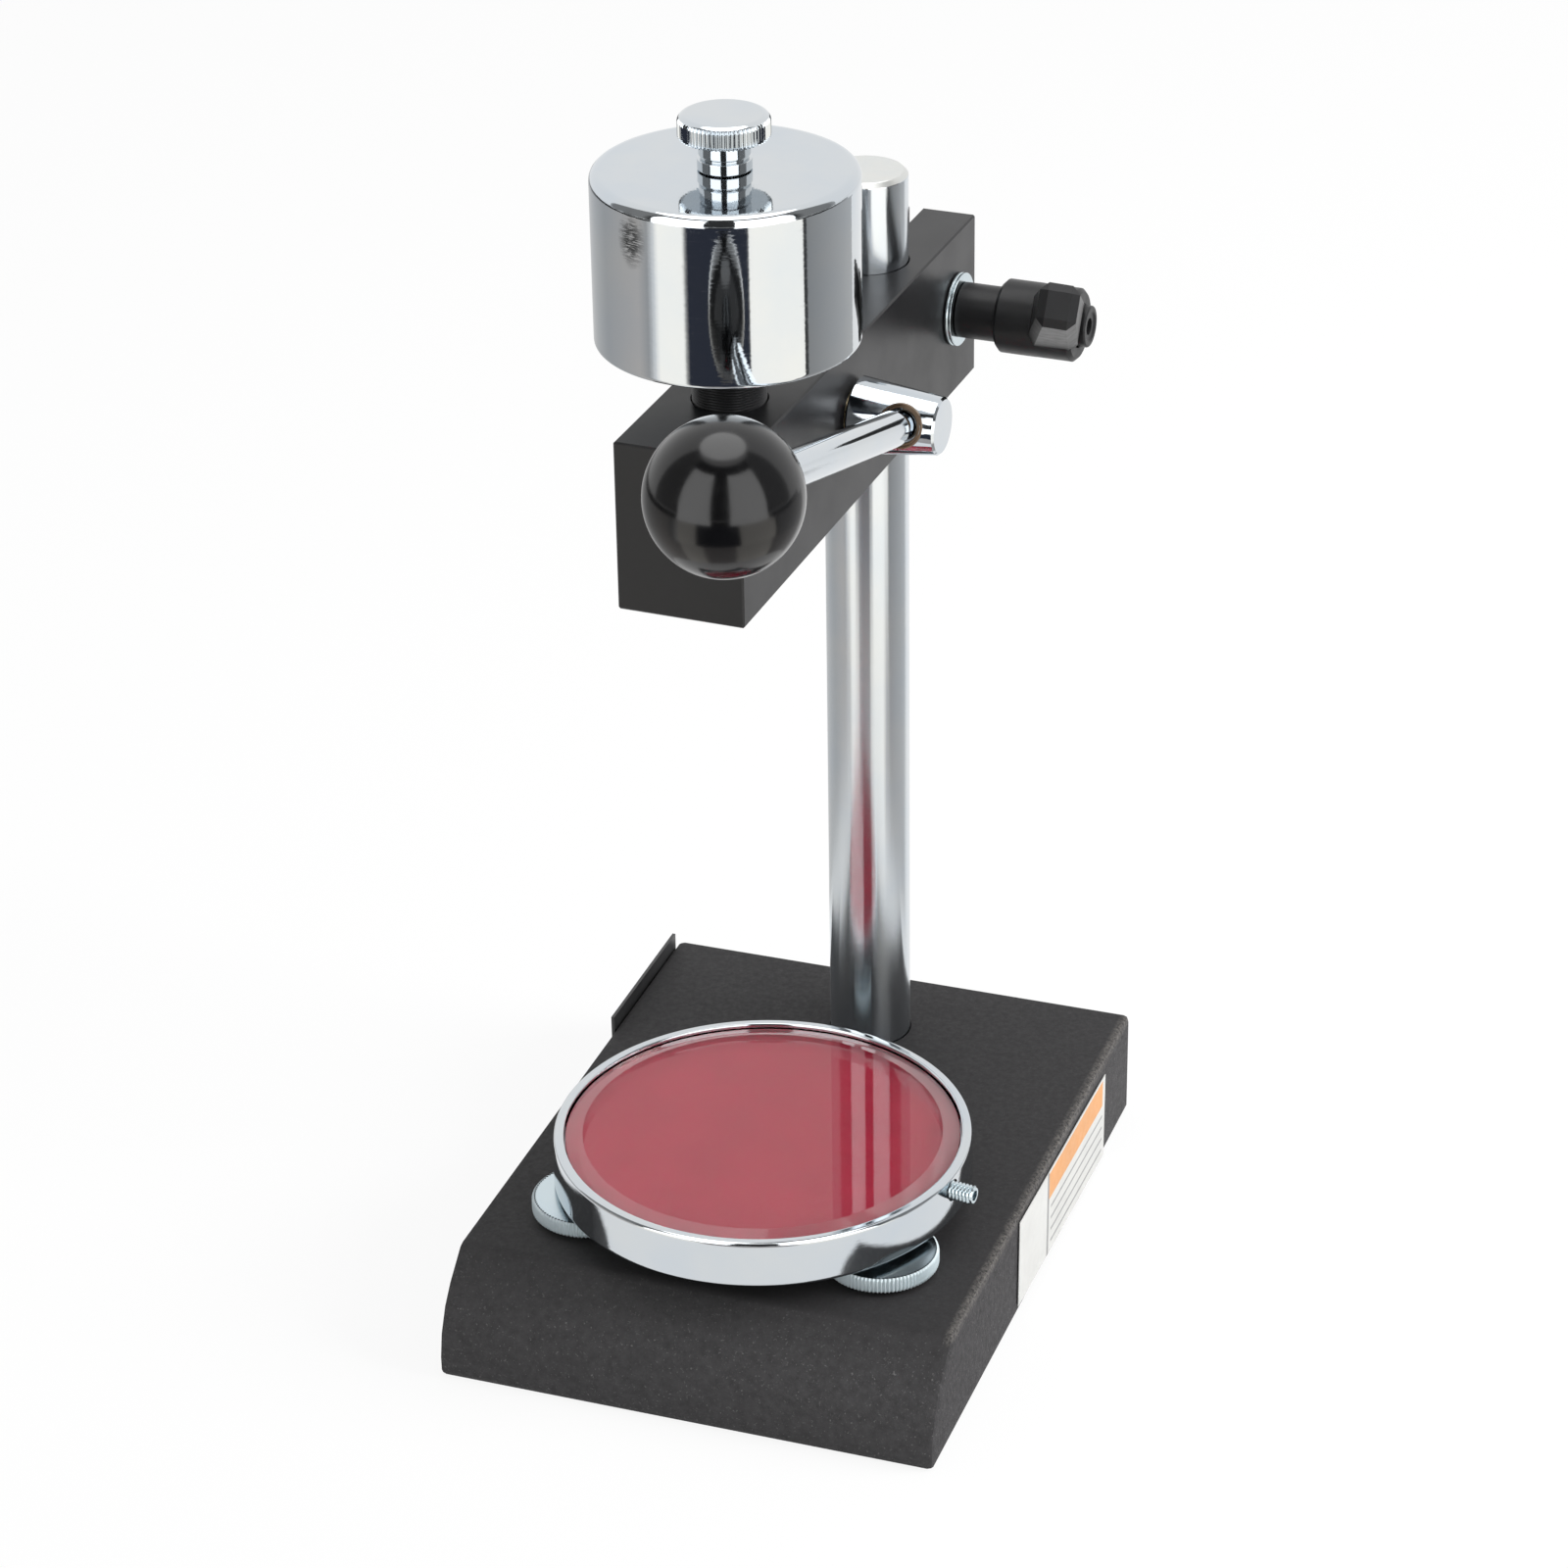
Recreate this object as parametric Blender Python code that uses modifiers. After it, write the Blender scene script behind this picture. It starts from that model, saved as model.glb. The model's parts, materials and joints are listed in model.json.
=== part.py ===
"""Bench stand for a hand durometer: base, column, swinging clamp arm, lever-lifted weight, levelling table.

Metres, +Z up. The origin is the middle of the base's footprint on the bench, the stand's front is at -Y.
"""

from math import atan2, cos, pi, radians, sin, tau

import bmesh
import bpy
from mathutils import Matrix, Vector

# Driving dimensions
BASE_WIDTH = 0.1230
BASE_LENGTH = 0.1656
BASE_HEIGHT = 0.0281
COLUMN_DIAMETER = 0.02026
COLUMN_TOP = 0.2600
COLUMN_FROM_BACK = 0.0258
TABLE_DIAMETER = 0.1008
ARM_HEIGHT = 0.0400
ARM_BELOW_COLUMN_TOP = 0.02235
ARM_SWING = radians(-1.98)
SPINDLE_TRAVEL = 0.0120
WEIGHT_DIAMETER = 0.0587
WEIGHT_HEIGHT = 0.03905
LEVER_REACH = 0.0481
LEVER_LENGTH = 0.1150
LEVER_ANGLE = radians(15.0)
BALL_DIAMETER = 0.0338
CLAMP_REACH = 0.0211

# Clearances and cutting allowance
GAP = 0.0003
CUT_OVERRUN = 0.0010
WELD = 0.00001
SHARP_ANGLE = radians(30.0)
BEVEL_ANGLE = radians(25.0)

# Base casting, with a front that curves down
FRONT_RUN = 0.0155
FRONT_SETBACK_SHARES = (1.0, 0.57, 0.245, 0.065, 0.0, 0.0)
FRONT_HEIGHT_SHARES = (1.0, 0.80, 0.587, 0.374, 0.18, 0.0)
BASE_EDGE_ROUND = 0.0016

# Bolt and washer at the column's foot
BOLT_SHARE = 0.5
BOLT_HEAD_WIDTH = 0.0030
BOLT_HEAD_HEIGHT = 0.0052
BOLT_HEAD_CLEAR = 0.0034
BOLT_WEB = 0.0035
BOLT_GRIP = 0.0180
BOLT_KEY_RADIUS = 0.0040
BOLT_KEY_DEPTH = 0.0028
COLUMN_WASHER_WIDTH = 0.0016
COLUMN_WASHER_THICKNESS = 0.0018
COLUMN_CHAMFER = 0.0011

# Plate on the left side and label on the right side
PLATE_LENGTH = 0.0447
PLATE_FROM_BACK = 0.0024
PLATE_RISE = 0.0029
PLATE_DROP = 0.0210
PLATE_THICKNESS = 0.0008
RIVET_RADIUS = 0.0008
RIVET_HEAD_RADIUS = 0.0016
RIVET_HEAD_HEIGHT = 0.0007
RIVET_LENGTH = 0.0032
RIVET_CROWN_SHARE = 0.6
RIVET_INSET = 0.0035
LABEL_LENGTH = 0.0745
LABEL_HEIGHT = 0.0235
LABEL_THICKNESS = 0.0002
LABEL_CENTRE_FROM_BACK = 0.0621
LABEL_DROP = 0.0003
LABEL_TILT = radians(-1.6)

# Levelling screws
LEVELLER_INSET = 0.0078
LEVELLER_ANGLES = (radians(-60.0), radians(60.0), radians(180.0))
LEVELLER_NAMES = ("front_left", "front_right", "rear")
LEVELLER_TO_COLUMN = 0.01497
WHEEL_RADIUS = 0.0136
WHEEL_THICKNESS = 0.0040
WHEEL_CHAMFER = 0.0004
WHEEL_LIFT = 0.0008
FOOT_TIP_RADIUS = 0.0022
FOOT_RADIUS = 0.0036
STUD_RADIUS = 0.0025
STUD_SHORT = 0.0010

# Levelling table
TABLE_ABOVE_WHEELS = 0.0015
RING_HEIGHT = 0.0117
RING_WALL = 0.0028
RING_CHAMFER = 0.0008
LEDGE_WIDTH = 0.0016
LEDGE_THICKNESS = 0.0015
TABLE_PLATE_THICKNESS = 0.0038
BACKING_THICKNESS = 0.0007
GLASS_BEVEL_WIDTH = 0.0042
GLASS_BEVEL_DEPTH = 0.0009
SET_SCREW_RADIUS = 0.0024
SET_SCREW_LENGTH = 0.0063
SET_SCREW_DROP = 0.0039
SET_SCREW_ANGLE = radians(7.2)
SET_SCREW_KEY_RADIUS = 0.0013
SET_SCREW_KEY_DEPTH = 0.0018
SET_PAD_RADIUS = 0.0019
SET_PAD_LENGTH = 0.0015

# Hold-down screw and spring under the table
HOLD_SHANK_RADIUS = 0.0029
HOLD_HEAD_RADIUS = 0.0050
HOLD_HEAD_HEIGHT = 0.0026
HOLD_HEAD_CLEAR = 0.0012
HOLD_TIP_SHORT = 0.0008
HOLD_WASHER_RADIUS = 0.0066
HOLD_WASHER_THICKNESS = 0.0012
HOLD_POCKET_CLEAR = 0.0009
HOLD_SPRING_RADIUS = 0.0050
HOLD_SPRING_WIRE = 0.0012
HOLD_SPRING_LENGTH = 0.0131
HOLD_SPRING_CURLS = 5

# Clamp arm, with a split liner in a groove of its bore
ARM_CHEEK = 0.00326
ARM_NOSE = 0.0307
ARM_TAIL = 0.0142
ARM_EDGE = 0.0004
ARM_SLIT = 0.0037
LINER_WALL = 0.0009
LINER_SLOT = 0.0025
BORE_LIP = 0.0030
CAVITY_WALL = 0.0039
CAVITY_ROOF = 0.0052
CAVITY_BEHIND_LEVER = 0.0091
CAVITY_AHEAD_OF_SPINDLE = 0.0116
COVER_LAND = 0.0015
COVER_LAND_REAR = 0.0080
COVER_LAND_FRONT = 0.0060
COVER_THICKNESS = 0.0036
COVER_SCREW_RADIUS = 0.0014
COVER_SCREW_HEAD_RADIUS = 0.0027
COVER_SCREW_HEAD_DEPTH = 0.0014
COVER_SCREW_LENGTH = 0.0090
COVER_SCREW_FROM_SIDE = 0.0045
COVER_SCREW_FROM_REAR = 0.0040
COVER_SCREW_FROM_FRONT = 0.0030

# Spindle, its guides, its cross pin and the weight
SPINDLE_RADIUS = 0.00525
SPINDLE_AHEAD_OF_TABLE = 0.0041
SPINDLE_BELOW_ARM = 0.0124
SPINDLE_SHOULDER = 0.00125
SPINDLE_CHAMFER = 0.0005
SLEEVE_WALL = 0.00285
SLEEVE_RISE = 0.0140
BUSH_WALL = 0.0018
BUSH_FLANGE_WIDTH = 0.0014
BUSH_FLANGE_THICKNESS = 0.0014
WEIGHT_ROUND = 0.0010
CROSS_PIN_RADIUS = 0.0020
SOCKET_WALL = 0.00195
SOCKET_DEPTH = 0.0100

# Thumb knob on the weight
KNOB_NECK_RADIUS = 0.0060
KNOB_WAIST_RADIUS = 0.0052
KNOB_NECK_HEIGHT = 0.0070
KNOB_RIM_RADIUS = 0.0101
KNOB_RIM_HEIGHT = 0.0052
KNOB_CHAMFER = 0.0005
KNOB_ROOF = 0.0030
KNOB_BEADS = 2
KNOB_BEAD_SHARES = (0.7, 0.3)

# Lever shaft and the lifting fork on it
LEVER_ABOVE_ARM_MIDDLE = 0.00275
SHAFT_RADIUS = 0.0045
SHAFT_LEFT_STUB = 0.0023
SHAFT_IN_HUB = 0.0085
SHAFT_BUSH_WALL = 0.0014
CLIP_WIDTH = 0.0022
CLIP_THICKNESS = 0.0008
CLIP_MOUTH = 0.0060
FORK_HUB_WALL = 0.0027
FORK_SIDE_CLEAR = 0.0015
FORK_SPINDLE_CLEAR = 0.0009
FORK_ROOT_HALF_HEIGHT = 0.0068
FORK_TIP_HALF_HEIGHT = 0.0046
FORK_TIP_BEYOND = 0.0032
FORK_SLOT_INNER = 0.0038
FORK_PLAY = 0.00035
FORK_PIN_RADIUS = 0.0013

# Lever hub and rod
HUB_GAP = 0.0010
HUB_PAST_ROD = 0.00775
HUB_ROOT_RADIUS = 0.0089
HUB_END_RADIUS = 0.0067
HUB_CHAMFER = 0.0005
ROD_PAST_SHAFT = 0.00525
ROD_RADIUS = 0.0042
ROD_NECK_RADIUS = 0.0031
ROD_NECK_START = 0.0030
ROD_SHOULDER = 0.0122
ROD_SHOULDER_ROUND = 0.0011
ROD_IN_BALL = 0.0110
ROD_MOUTH_RADIUS = 0.0053
ROD_MOUTH_DEPTH = 0.0014

# Column clamp
CLAMP_ABOVE_ARM_MIDDLE = 0.0013
CLAMP_WASHER_WIDTH = 0.0045
CLAMP_WASHER_THICKNESS = 0.0015
CLAMP_STUD_RADIUS = 0.0040
CLAMP_STUD_INSET = 0.0012
INSERT_RADIUS = 0.00665
INSERT_LENGTH = 0.0097
PILOT_RADIUS = 0.0046
PILOT_LENGTH = 0.0062
SPLINE_RADIUS = 0.0056
SPLINE_LENGTH = 0.0034
HANDLE_WEB = 0.0018
HANDLE_WALL = 0.00295
HANDLE_HEAD_STEP = 0.00005
HANDLE_SKIRT_LENGTH = 0.0090
HANDLE_CHAMFER = 0.0009
HANDLE_POCKET_WALL = 0.00345
HANDLE_HOLE_CLEAR = 0.0004
GRIP_LENGTH = 0.0430
GRIP_LEAN = radians(16.6)
GRIP_RISE = radians(29.0)
GRIP_FROM_END = 0.0062
GRIP_ROOT_WIDTH = 0.0124
GRIP_ROOT_HEIGHT = 0.0138
GRIP_TIP_WIDTH = 0.0092
GRIP_TIP_HEIGHT = 0.0102
GRIP_CHAMFER = 0.0019
CLAMP_SCREW_RADIUS = 0.0023
CLAMP_SCREW_DEPTH = 0.0075
CLAMP_SCREW_HEAD_RADIUS = 0.0050
CLAMP_SCREW_HEAD_HEIGHT = 0.0024
CLAMP_SCREW_KEY_RADIUS = 0.0016
CLAMP_SCREW_KEY_DEPTH = 0.0015
CLAMP_SPRING_RADIUS = 0.0038
CLAMP_SPRING_WIRE = 0.0008
CLAMP_SPRING_LENGTH = 0.00745
CLAMP_SPRING_CURLS = 3

# Facets
FINE = 64
ROUND = 36
SMALL = 20
TINY = 12
HEXAGON = 6
BALL_RINGS = 16
BALL_SEGMENTS = 28
CURL_POINTS = 8
WIRE_RESOLUTION = 1
ROUND_STEPS = 3

# The column's foot, from the bench up
COLUMN_RADIUS = COLUMN_DIAMETER / 2
COLUMN_Y = BASE_LENGTH / 2 - COLUMN_FROM_BACK
BOLT_RADIUS = COLUMN_RADIUS * BOLT_SHARE
BOLT_HEAD_TOP = BOLT_HEAD_CLEAR + BOLT_HEAD_HEIGHT
COLUMN_WASHER_BOTTOM = BOLT_HEAD_TOP + GAP
COLUMN_WASHER_TOP = COLUMN_WASHER_BOTTOM + COLUMN_WASHER_THICKNESS
BOLT_POCKET_ROOF = COLUMN_WASHER_TOP + GAP
SOCKET_FLOOR = BOLT_POCKET_ROOF + BOLT_WEB
COLUMN_BOTTOM = SOCKET_FLOOR + GAP

# The levelling table, from the base's top up
WHEEL_BOTTOM = BASE_HEIGHT + GAP + WHEEL_LIFT
WHEEL_TOP = WHEEL_BOTTOM + WHEEL_THICKNESS
RING_BOTTOM = WHEEL_TOP + TABLE_ABOVE_WHEELS
TABLE_TOP = RING_BOTTOM + RING_HEIGHT
TABLE_PLATE_BOTTOM = RING_BOTTOM + LEDGE_THICKNESS + GAP
TABLE_PLATE_TOP = TABLE_PLATE_BOTTOM + TABLE_PLATE_THICKNESS
BACKING_BOTTOM = TABLE_PLATE_TOP + GAP
BACKING_TOP = BACKING_BOTTOM + BACKING_THICKNESS
GLASS_BOTTOM = BACKING_TOP + GAP
GLASS_TOP = TABLE_TOP - GAP
TABLE_RADIUS = TABLE_DIAMETER / 2
SEAT_RADIUS = TABLE_RADIUS - RING_WALL
DISC_RADIUS = SEAT_RADIUS - GAP
LEDGE_RADIUS = SEAT_RADIUS - LEDGE_WIDTH
LEVELLER_PITCH_RADIUS = TABLE_RADIUS - LEVELLER_INSET
TABLE_FROM_COLUMN = COLUMN_RADIUS + LEVELLER_TO_COLUMN + WHEEL_RADIUS + LEVELLER_PITCH_RADIUS
TABLE_Y = COLUMN_Y - TABLE_FROM_COLUMN

# The hold-down screw, from the bench up
HOLD_HEAD_TOP = HOLD_HEAD_CLEAR + HOLD_HEAD_HEIGHT
HOLD_WASHER_BOTTOM = HOLD_HEAD_TOP + GAP
HOLD_WASHER_TOP = HOLD_WASHER_BOTTOM + HOLD_WASHER_THICKNESS
HOLD_SPRING_BOTTOM = HOLD_WASHER_TOP + GAP
HOLD_SPRING_TOP = HOLD_SPRING_BOTTOM + HOLD_SPRING_LENGTH
HOLD_POCKET_ROOF = HOLD_SPRING_TOP + GAP

# The arm and what slides in it
ARM_TOP = COLUMN_TOP - ARM_BELOW_COLUMN_TOP
ARM_UNDERSIDE = ARM_TOP - ARM_HEIGHT
LINER_INNER = COLUMN_RADIUS + GAP
LINER_OUTER = LINER_INNER + LINER_WALL
LINER_GROOVE = LINER_OUTER + GAP
ARM_HALF = LINER_GROOVE + ARM_CHEEK
SPINDLE_REACH = TABLE_FROM_COLUMN + SPINDLE_AHEAD_OF_TABLE
ARM_FRONT = SPINDLE_REACH + ARM_NOSE
ARM_REAR = CLAMP_REACH + ARM_TAIL
CAVITY_HALF = ARM_HALF - CAVITY_WALL
CAVITY_REAR = LEVER_REACH - CAVITY_BEHIND_LEVER
CAVITY_FRONT = SPINDLE_REACH + CAVITY_AHEAD_OF_SPINDLE
CAVITY_TOP = ARM_TOP - CAVITY_ROOF
COVER_SEAT_HALF = CAVITY_HALF + COVER_LAND
COVER_SEAT_REAR = CAVITY_REAR - COVER_LAND_REAR
COVER_SEAT_FRONT = CAVITY_FRONT + COVER_LAND_FRONT
COVER_BOTTOM = ARM_UNDERSIDE + GAP
COVER_TOP = COVER_BOTTOM + COVER_THICKNESS
GUIDE_BORE = SPINDLE_RADIUS + GAP
SPINDLE_NECK_RADIUS = SPINDLE_RADIUS - SPINDLE_SHOULDER
SPINDLE_BOTTOM = ARM_UNDERSIDE - SPINDLE_BELOW_ARM
SLEEVE_TOP = ARM_TOP + SLEEVE_RISE
WEIGHT_BOTTOM = SLEEVE_TOP + GAP
WEIGHT_TOP = WEIGHT_BOTTOM + WEIGHT_HEIGHT
KNOB_BOTTOM = WEIGHT_TOP + GAP
KNOB_RIM_BOTTOM = KNOB_BOTTOM + KNOB_NECK_HEIGHT
KNOB_TOP = KNOB_RIM_BOTTOM + KNOB_RIM_HEIGHT
KNOB_BORE_TOP = KNOB_TOP - KNOB_ROOF

# The lever. Its fork rests as far below level as it lifts above level.
LEVER_HEIGHT = ARM_UNDERSIDE + ARM_HEIGHT / 2 + LEVER_ABOVE_ARM_MIDDLE
SHAFT_BORE = SHAFT_RADIUS + GAP
FORK_REACH = SPINDLE_REACH - LEVER_REACH
FORK_REST_ANGLE = atan2(-SPINDLE_TRAVEL / 2, FORK_REACH)
FORK_HUB_RADIUS = SHAFT_BORE + FORK_HUB_WALL
FORK_HALF = CAVITY_HALF - FORK_SIDE_CLEAR
FORK_INNER = SPINDLE_RADIUS + FORK_SPINDLE_CLEAR
PIN_HEIGHT = LEVER_HEIGHT - SPINDLE_TRAVEL / 2
HUB_ROOT = ARM_HALF + HUB_GAP
ROD_PLANE = ARM_HALF + SHAFT_IN_HUB + ROD_PAST_SHAFT
HUB_END = ROD_PLANE + HUB_PAST_ROD

# The clamp, outward from the arm's right side
CLAMP_HEIGHT = ARM_UNDERSIDE + ARM_HEIGHT / 2 + CLAMP_ABOVE_ARM_MIDDLE
CLAMP_BORE = CLAMP_STUD_RADIUS + GAP
CLAMP_WASHER_END = GAP + CLAMP_WASHER_THICKNESS
INSERT_START = CLAMP_WASHER_END + GAP
INSERT_END = INSERT_START + INSERT_LENGTH
SPLINE_START = INSERT_END + PILOT_LENGTH
SPLINE_END = SPLINE_START + SPLINE_LENGTH
HANDLE_START = INSERT_END + GAP
HANDLE_RADIUS = SPLINE_RADIUS + GAP + HANDLE_WALL
WEB_START = SPLINE_END + GAP
WEB_END = WEB_START + HANDLE_WEB
CLAMP_SPRING_START = WEB_END + GAP
CLAMP_SPRING_END = CLAMP_SPRING_START + CLAMP_SPRING_LENGTH
CLAMP_HEAD_START = CLAMP_SPRING_END + GAP
CLAMP_HEAD_END = CLAMP_HEAD_START + CLAMP_SCREW_HEAD_HEIGHT
HANDLE_END = CLAMP_SPRING_END + GAP / 2

STAND = bpy.data.collections.new("durometer_stand")
CUTTERS = bpy.data.collections.new("cutters")


def clear_scene():
    """Start from nothing, whatever the file held."""
    for leftover in list(bpy.data.objects):
        bpy.data.objects.remove(leftover)
    bpy.context.scene.collection.children.link(STAND)
    bpy.context.scene.collection.children.link(CUTTERS)
    CUTTERS.hide_render = True


def material(name, colour, roughness, metallic=0.0, alpha=1.0):
    """A Principled material of one colour."""
    made = bpy.data.materials.new(name)
    made.use_nodes = True
    shader = made.node_tree.nodes["Principled BSDF"]
    shader.inputs["Base Color"].default_value = (*colour, 1.0)
    shader.inputs["Roughness"].default_value = roughness
    shader.inputs["Metallic"].default_value = metallic
    shader.inputs["Alpha"].default_value = alpha
    made.diffuse_color = (*colour, alpha)
    return made


def add(name, mesh, finish, parent=None, place=(0, 0, 0), turn=(0, 0, 0)):
    """Put a mesh in the stand as one named piece."""
    piece = bpy.data.objects.new(name, mesh)
    STAND.objects.link(piece)
    mesh.materials.append(finish)
    piece.parent = parent
    piece.location = place
    piece.rotation_euler = turn
    return piece


def cutter(name, mesh, parent=None, place=(0, 0, 0), turn=(0, 0, 0)):
    """Put a mesh among the cutters, hidden from the render."""
    tool = bpy.data.objects.new(name, mesh)
    CUTTERS.objects.link(tool)
    tool.parent = parent
    tool.location = place
    tool.rotation_euler = turn
    tool.hide_render = True
    tool.display_type = "WIRE"
    return tool


def combine(piece, tool, operation):
    """Cut a tool from a piece, or join it on."""
    change = piece.modifiers.new(tool.name, "BOOLEAN")
    change.operation = operation
    change.object = tool
    change.solver = "EXACT"


def bevel(piece, width, segments=1):
    """Break a piece's sharp edges."""
    edge = piece.modifiers.new("edges", "BEVEL")
    edge.width = width
    edge.segments = segments
    edge.limit_method = "ANGLE"
    edge.angle_limit = BEVEL_ANGLE


def box_mesh(name, low, high):
    """A box between two corners."""
    mesh = bpy.data.meshes.new(name)
    shape = bmesh.new()
    size = Vector(high) - Vector(low)
    middle = (Vector(high) + Vector(low)) / 2
    bmesh.ops.create_cube(shape, size=1.0, matrix=Matrix.Translation(middle) @ Matrix.Diagonal((*size, 1)))
    shape.to_mesh(mesh)
    shape.free()
    return mesh


def rod_mesh(name, radius, low, high, steps):
    """A plain cylinder along Z."""
    mesh = bpy.data.meshes.new(name)
    shape = bmesh.new()
    bmesh.ops.create_cone(
        shape,
        cap_ends=True,
        segments=steps,
        radius1=radius,
        radius2=radius,
        depth=high - low,
        matrix=Matrix.Translation((0, 0, (low + high) / 2)),
    )
    shape.to_mesh(mesh)
    shape.free()
    mesh.shade_smooth()
    return mesh


def rod(name, radius, low, high, finish, steps=ROUND, **where):
    """A plain round bar."""
    return add(name, rod_mesh(name, radius, low, high, steps), finish, **where)


def profile_mesh(name, points, closed):
    """The outline of a turned piece, in its XZ plane."""
    mesh = bpy.data.meshes.new(name)
    edges = [(index, index + 1) for index in range(len(points) - 1)]
    if closed:
        edges.append((len(points) - 1, 0))
    mesh.from_pydata([(radius, 0, height) for radius, height in points], edges, [])
    return mesh


def spin(piece, steps):
    """Turn an outline round its own Z axis into a solid."""
    screw = piece.modifiers.new("turn", "SCREW")
    screw.angle = tau
    screw.steps = steps
    screw.render_steps = steps
    screw.use_merge_vertices = True
    screw.merge_threshold = WELD
    screw.use_smooth_shade = True


def turned(name, points, finish, steps=ROUND, closed=False, **where):
    """A solid turned from an outline that runs down its outer side. A closed outline makes a ring."""
    piece = add(name, profile_mesh(name, points, closed), finish, **where)
    spin(piece, steps)
    return piece


def ring(name, inner, outer, low, high, finish, steps=SMALL, **where):
    """A plain ring."""
    outline = [(outer, high), (outer, low), (inner, low), (inner, high)]
    return turned(name, outline, finish, steps, closed=True, **where)


def arc(centre, radius, start, end):
    """Points along an arc in an outline."""
    points = []
    for step in range(ROUND_STEPS + 1):
        angle = start + (end - start) * step / ROUND_STEPS
        points.append((centre[0] + radius * cos(angle), centre[1] + radius * sin(angle)))
    return points


def drill(piece, name, radius, low, high, steps=SMALL, **where):
    """Cut a round hole along the tool's own Z axis, from low to high."""
    combine(piece, cutter(name, rod_mesh(name, radius, low, high, steps), **where), "DIFFERENCE")


def bore(piece, name, outline, steps=ROUND, **where):
    """Cut a turned hole with the outline of its wall, top to bottom."""
    points = [(0, outline[0][1]), *outline, (0, outline[-1][1])]
    tool = cutter(name, profile_mesh(name, points, False), **where)
    spin(tool, steps)
    combine(piece, tool, "DIFFERENCE")


def stepped(top, lengths):
    """The outline of a stepped hole. Each length is the radius there and the height it ends at."""
    outline = []
    start = top
    for radius, end in lengths:
        outline += [(radius, start), (radius, end)]
        start = end
    return outline


def mesh_from_curve(name, curve):
    """A curve's surface as one welded mesh, with its faces out."""
    holder = bpy.data.objects.new(name, curve)
    bpy.context.scene.collection.objects.link(holder)
    bpy.context.view_layer.update()
    graph = bpy.context.evaluated_depsgraph_get()
    mesh = bpy.data.meshes.new_from_object(holder.evaluated_get(graph))
    bpy.data.objects.remove(holder)
    shape = bmesh.new()
    shape.from_mesh(mesh)
    bmesh.ops.remove_doubles(shape, verts=shape.verts, dist=WELD)
    bmesh.ops.recalc_face_normals(shape, faces=shape.faces)
    shape.to_mesh(mesh)
    shape.free()
    mesh.name = name
    return mesh


def slab_mesh(name, outline, thickness):
    """A flat outline in XY with a thickness centred on its plane."""
    curve = bpy.data.curves.new(name, "CURVE")
    curve.dimensions = "2D"
    curve.fill_mode = "BOTH"
    curve.extrude = thickness / 2
    spline = curve.splines.new("POLY")
    spline.points.add(len(outline) - 1)
    for point, (x, y) in zip(spline.points, outline):
        point.co = (x, y, 0, 1)
    spline.use_cyclic_u = True
    return mesh_from_curve(name, curve)


def coil(name, radius, wire, curls, low, high, finish, **where):
    """A compression spring along its own Z axis, one unbroken tube, with its least gap printed."""
    count = curls * CURL_POINTS
    points = []
    for index in range(count + 1):
        angle = tau * index / CURL_POINTS
        height = low + wire / 2 + (high - low - wire) * index / count
        points.append(Vector((radius * cos(angle), radius * sin(angle), height)))
    apart = [
        (points[first] - points[second]).length
        for first in range(count + 1)
        for second in range(first + CURL_POINTS - 1, count + 1)
    ]
    print(f"{name}: least gap between curls {(min(apart) - wire) * 1000:.2f} mm")
    curve = bpy.data.curves.new(name, "CURVE")
    curve.dimensions = "3D"
    curve.bevel_depth = wire / 2
    curve.bevel_resolution = WIRE_RESOLUTION
    curve.use_fill_caps = True
    spline = curve.splines.new("POLY")
    spline.points.add(count)
    for point, place in zip(spline.points, points):
        point.co = (*place, 1)
    return add(name, mesh_from_curve(name, curve), finish, **where)


def axis_empty(name, place, turn=(0, 0, 0), parent=None):
    """An empty that marks a joint's axis."""
    mark = bpy.data.objects.new(name, None)
    STAND.objects.link(mark)
    mark.empty_display_size = COLUMN_DIAMETER
    mark.parent = parent
    mark.location = place
    mark.rotation_euler = turn
    return mark


def corner_shading():
    """A node group that keeps edges over SHARP_ANGLE sharp on a piece that is shaded smooth."""
    group = bpy.data.node_groups.new("corner_shading", "GeometryNodeTree")
    group.interface.new_socket("Geometry", in_out="INPUT", socket_type="NodeSocketGeometry")
    group.interface.new_socket("Geometry", in_out="OUTPUT", socket_type="NodeSocketGeometry")
    start = group.nodes.new("NodeGroupInput")
    angle = group.nodes.new("GeometryNodeInputMeshEdgeAngle")
    corner = group.nodes.new("FunctionNodeCompare")
    corner.inputs["B"].default_value = SHARP_ANGLE
    shade = group.nodes.new("GeometryNodeSetShadeSmooth")
    shade.domain = "EDGE"
    shade.inputs["Shade Smooth"].default_value = False
    end = group.nodes.new("NodeGroupOutput")
    group.links.new(angle.outputs["Unsigned Angle"], corner.inputs["A"])
    group.links.new(corner.outputs["Result"], shade.inputs["Selection"])
    group.links.new(start.outputs["Geometry"], shade.inputs["Geometry"])
    group.links.new(shade.outputs["Geometry"], end.inputs["Geometry"])
    return group


def shade_corners():
    """Give every piece the shading that keeps its corners sharp."""
    group = corner_shading()
    for piece in STAND.objects:
        if piece.type == "MESH":
            piece.modifiers.new("corners", "NODES").node_group = group


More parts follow.
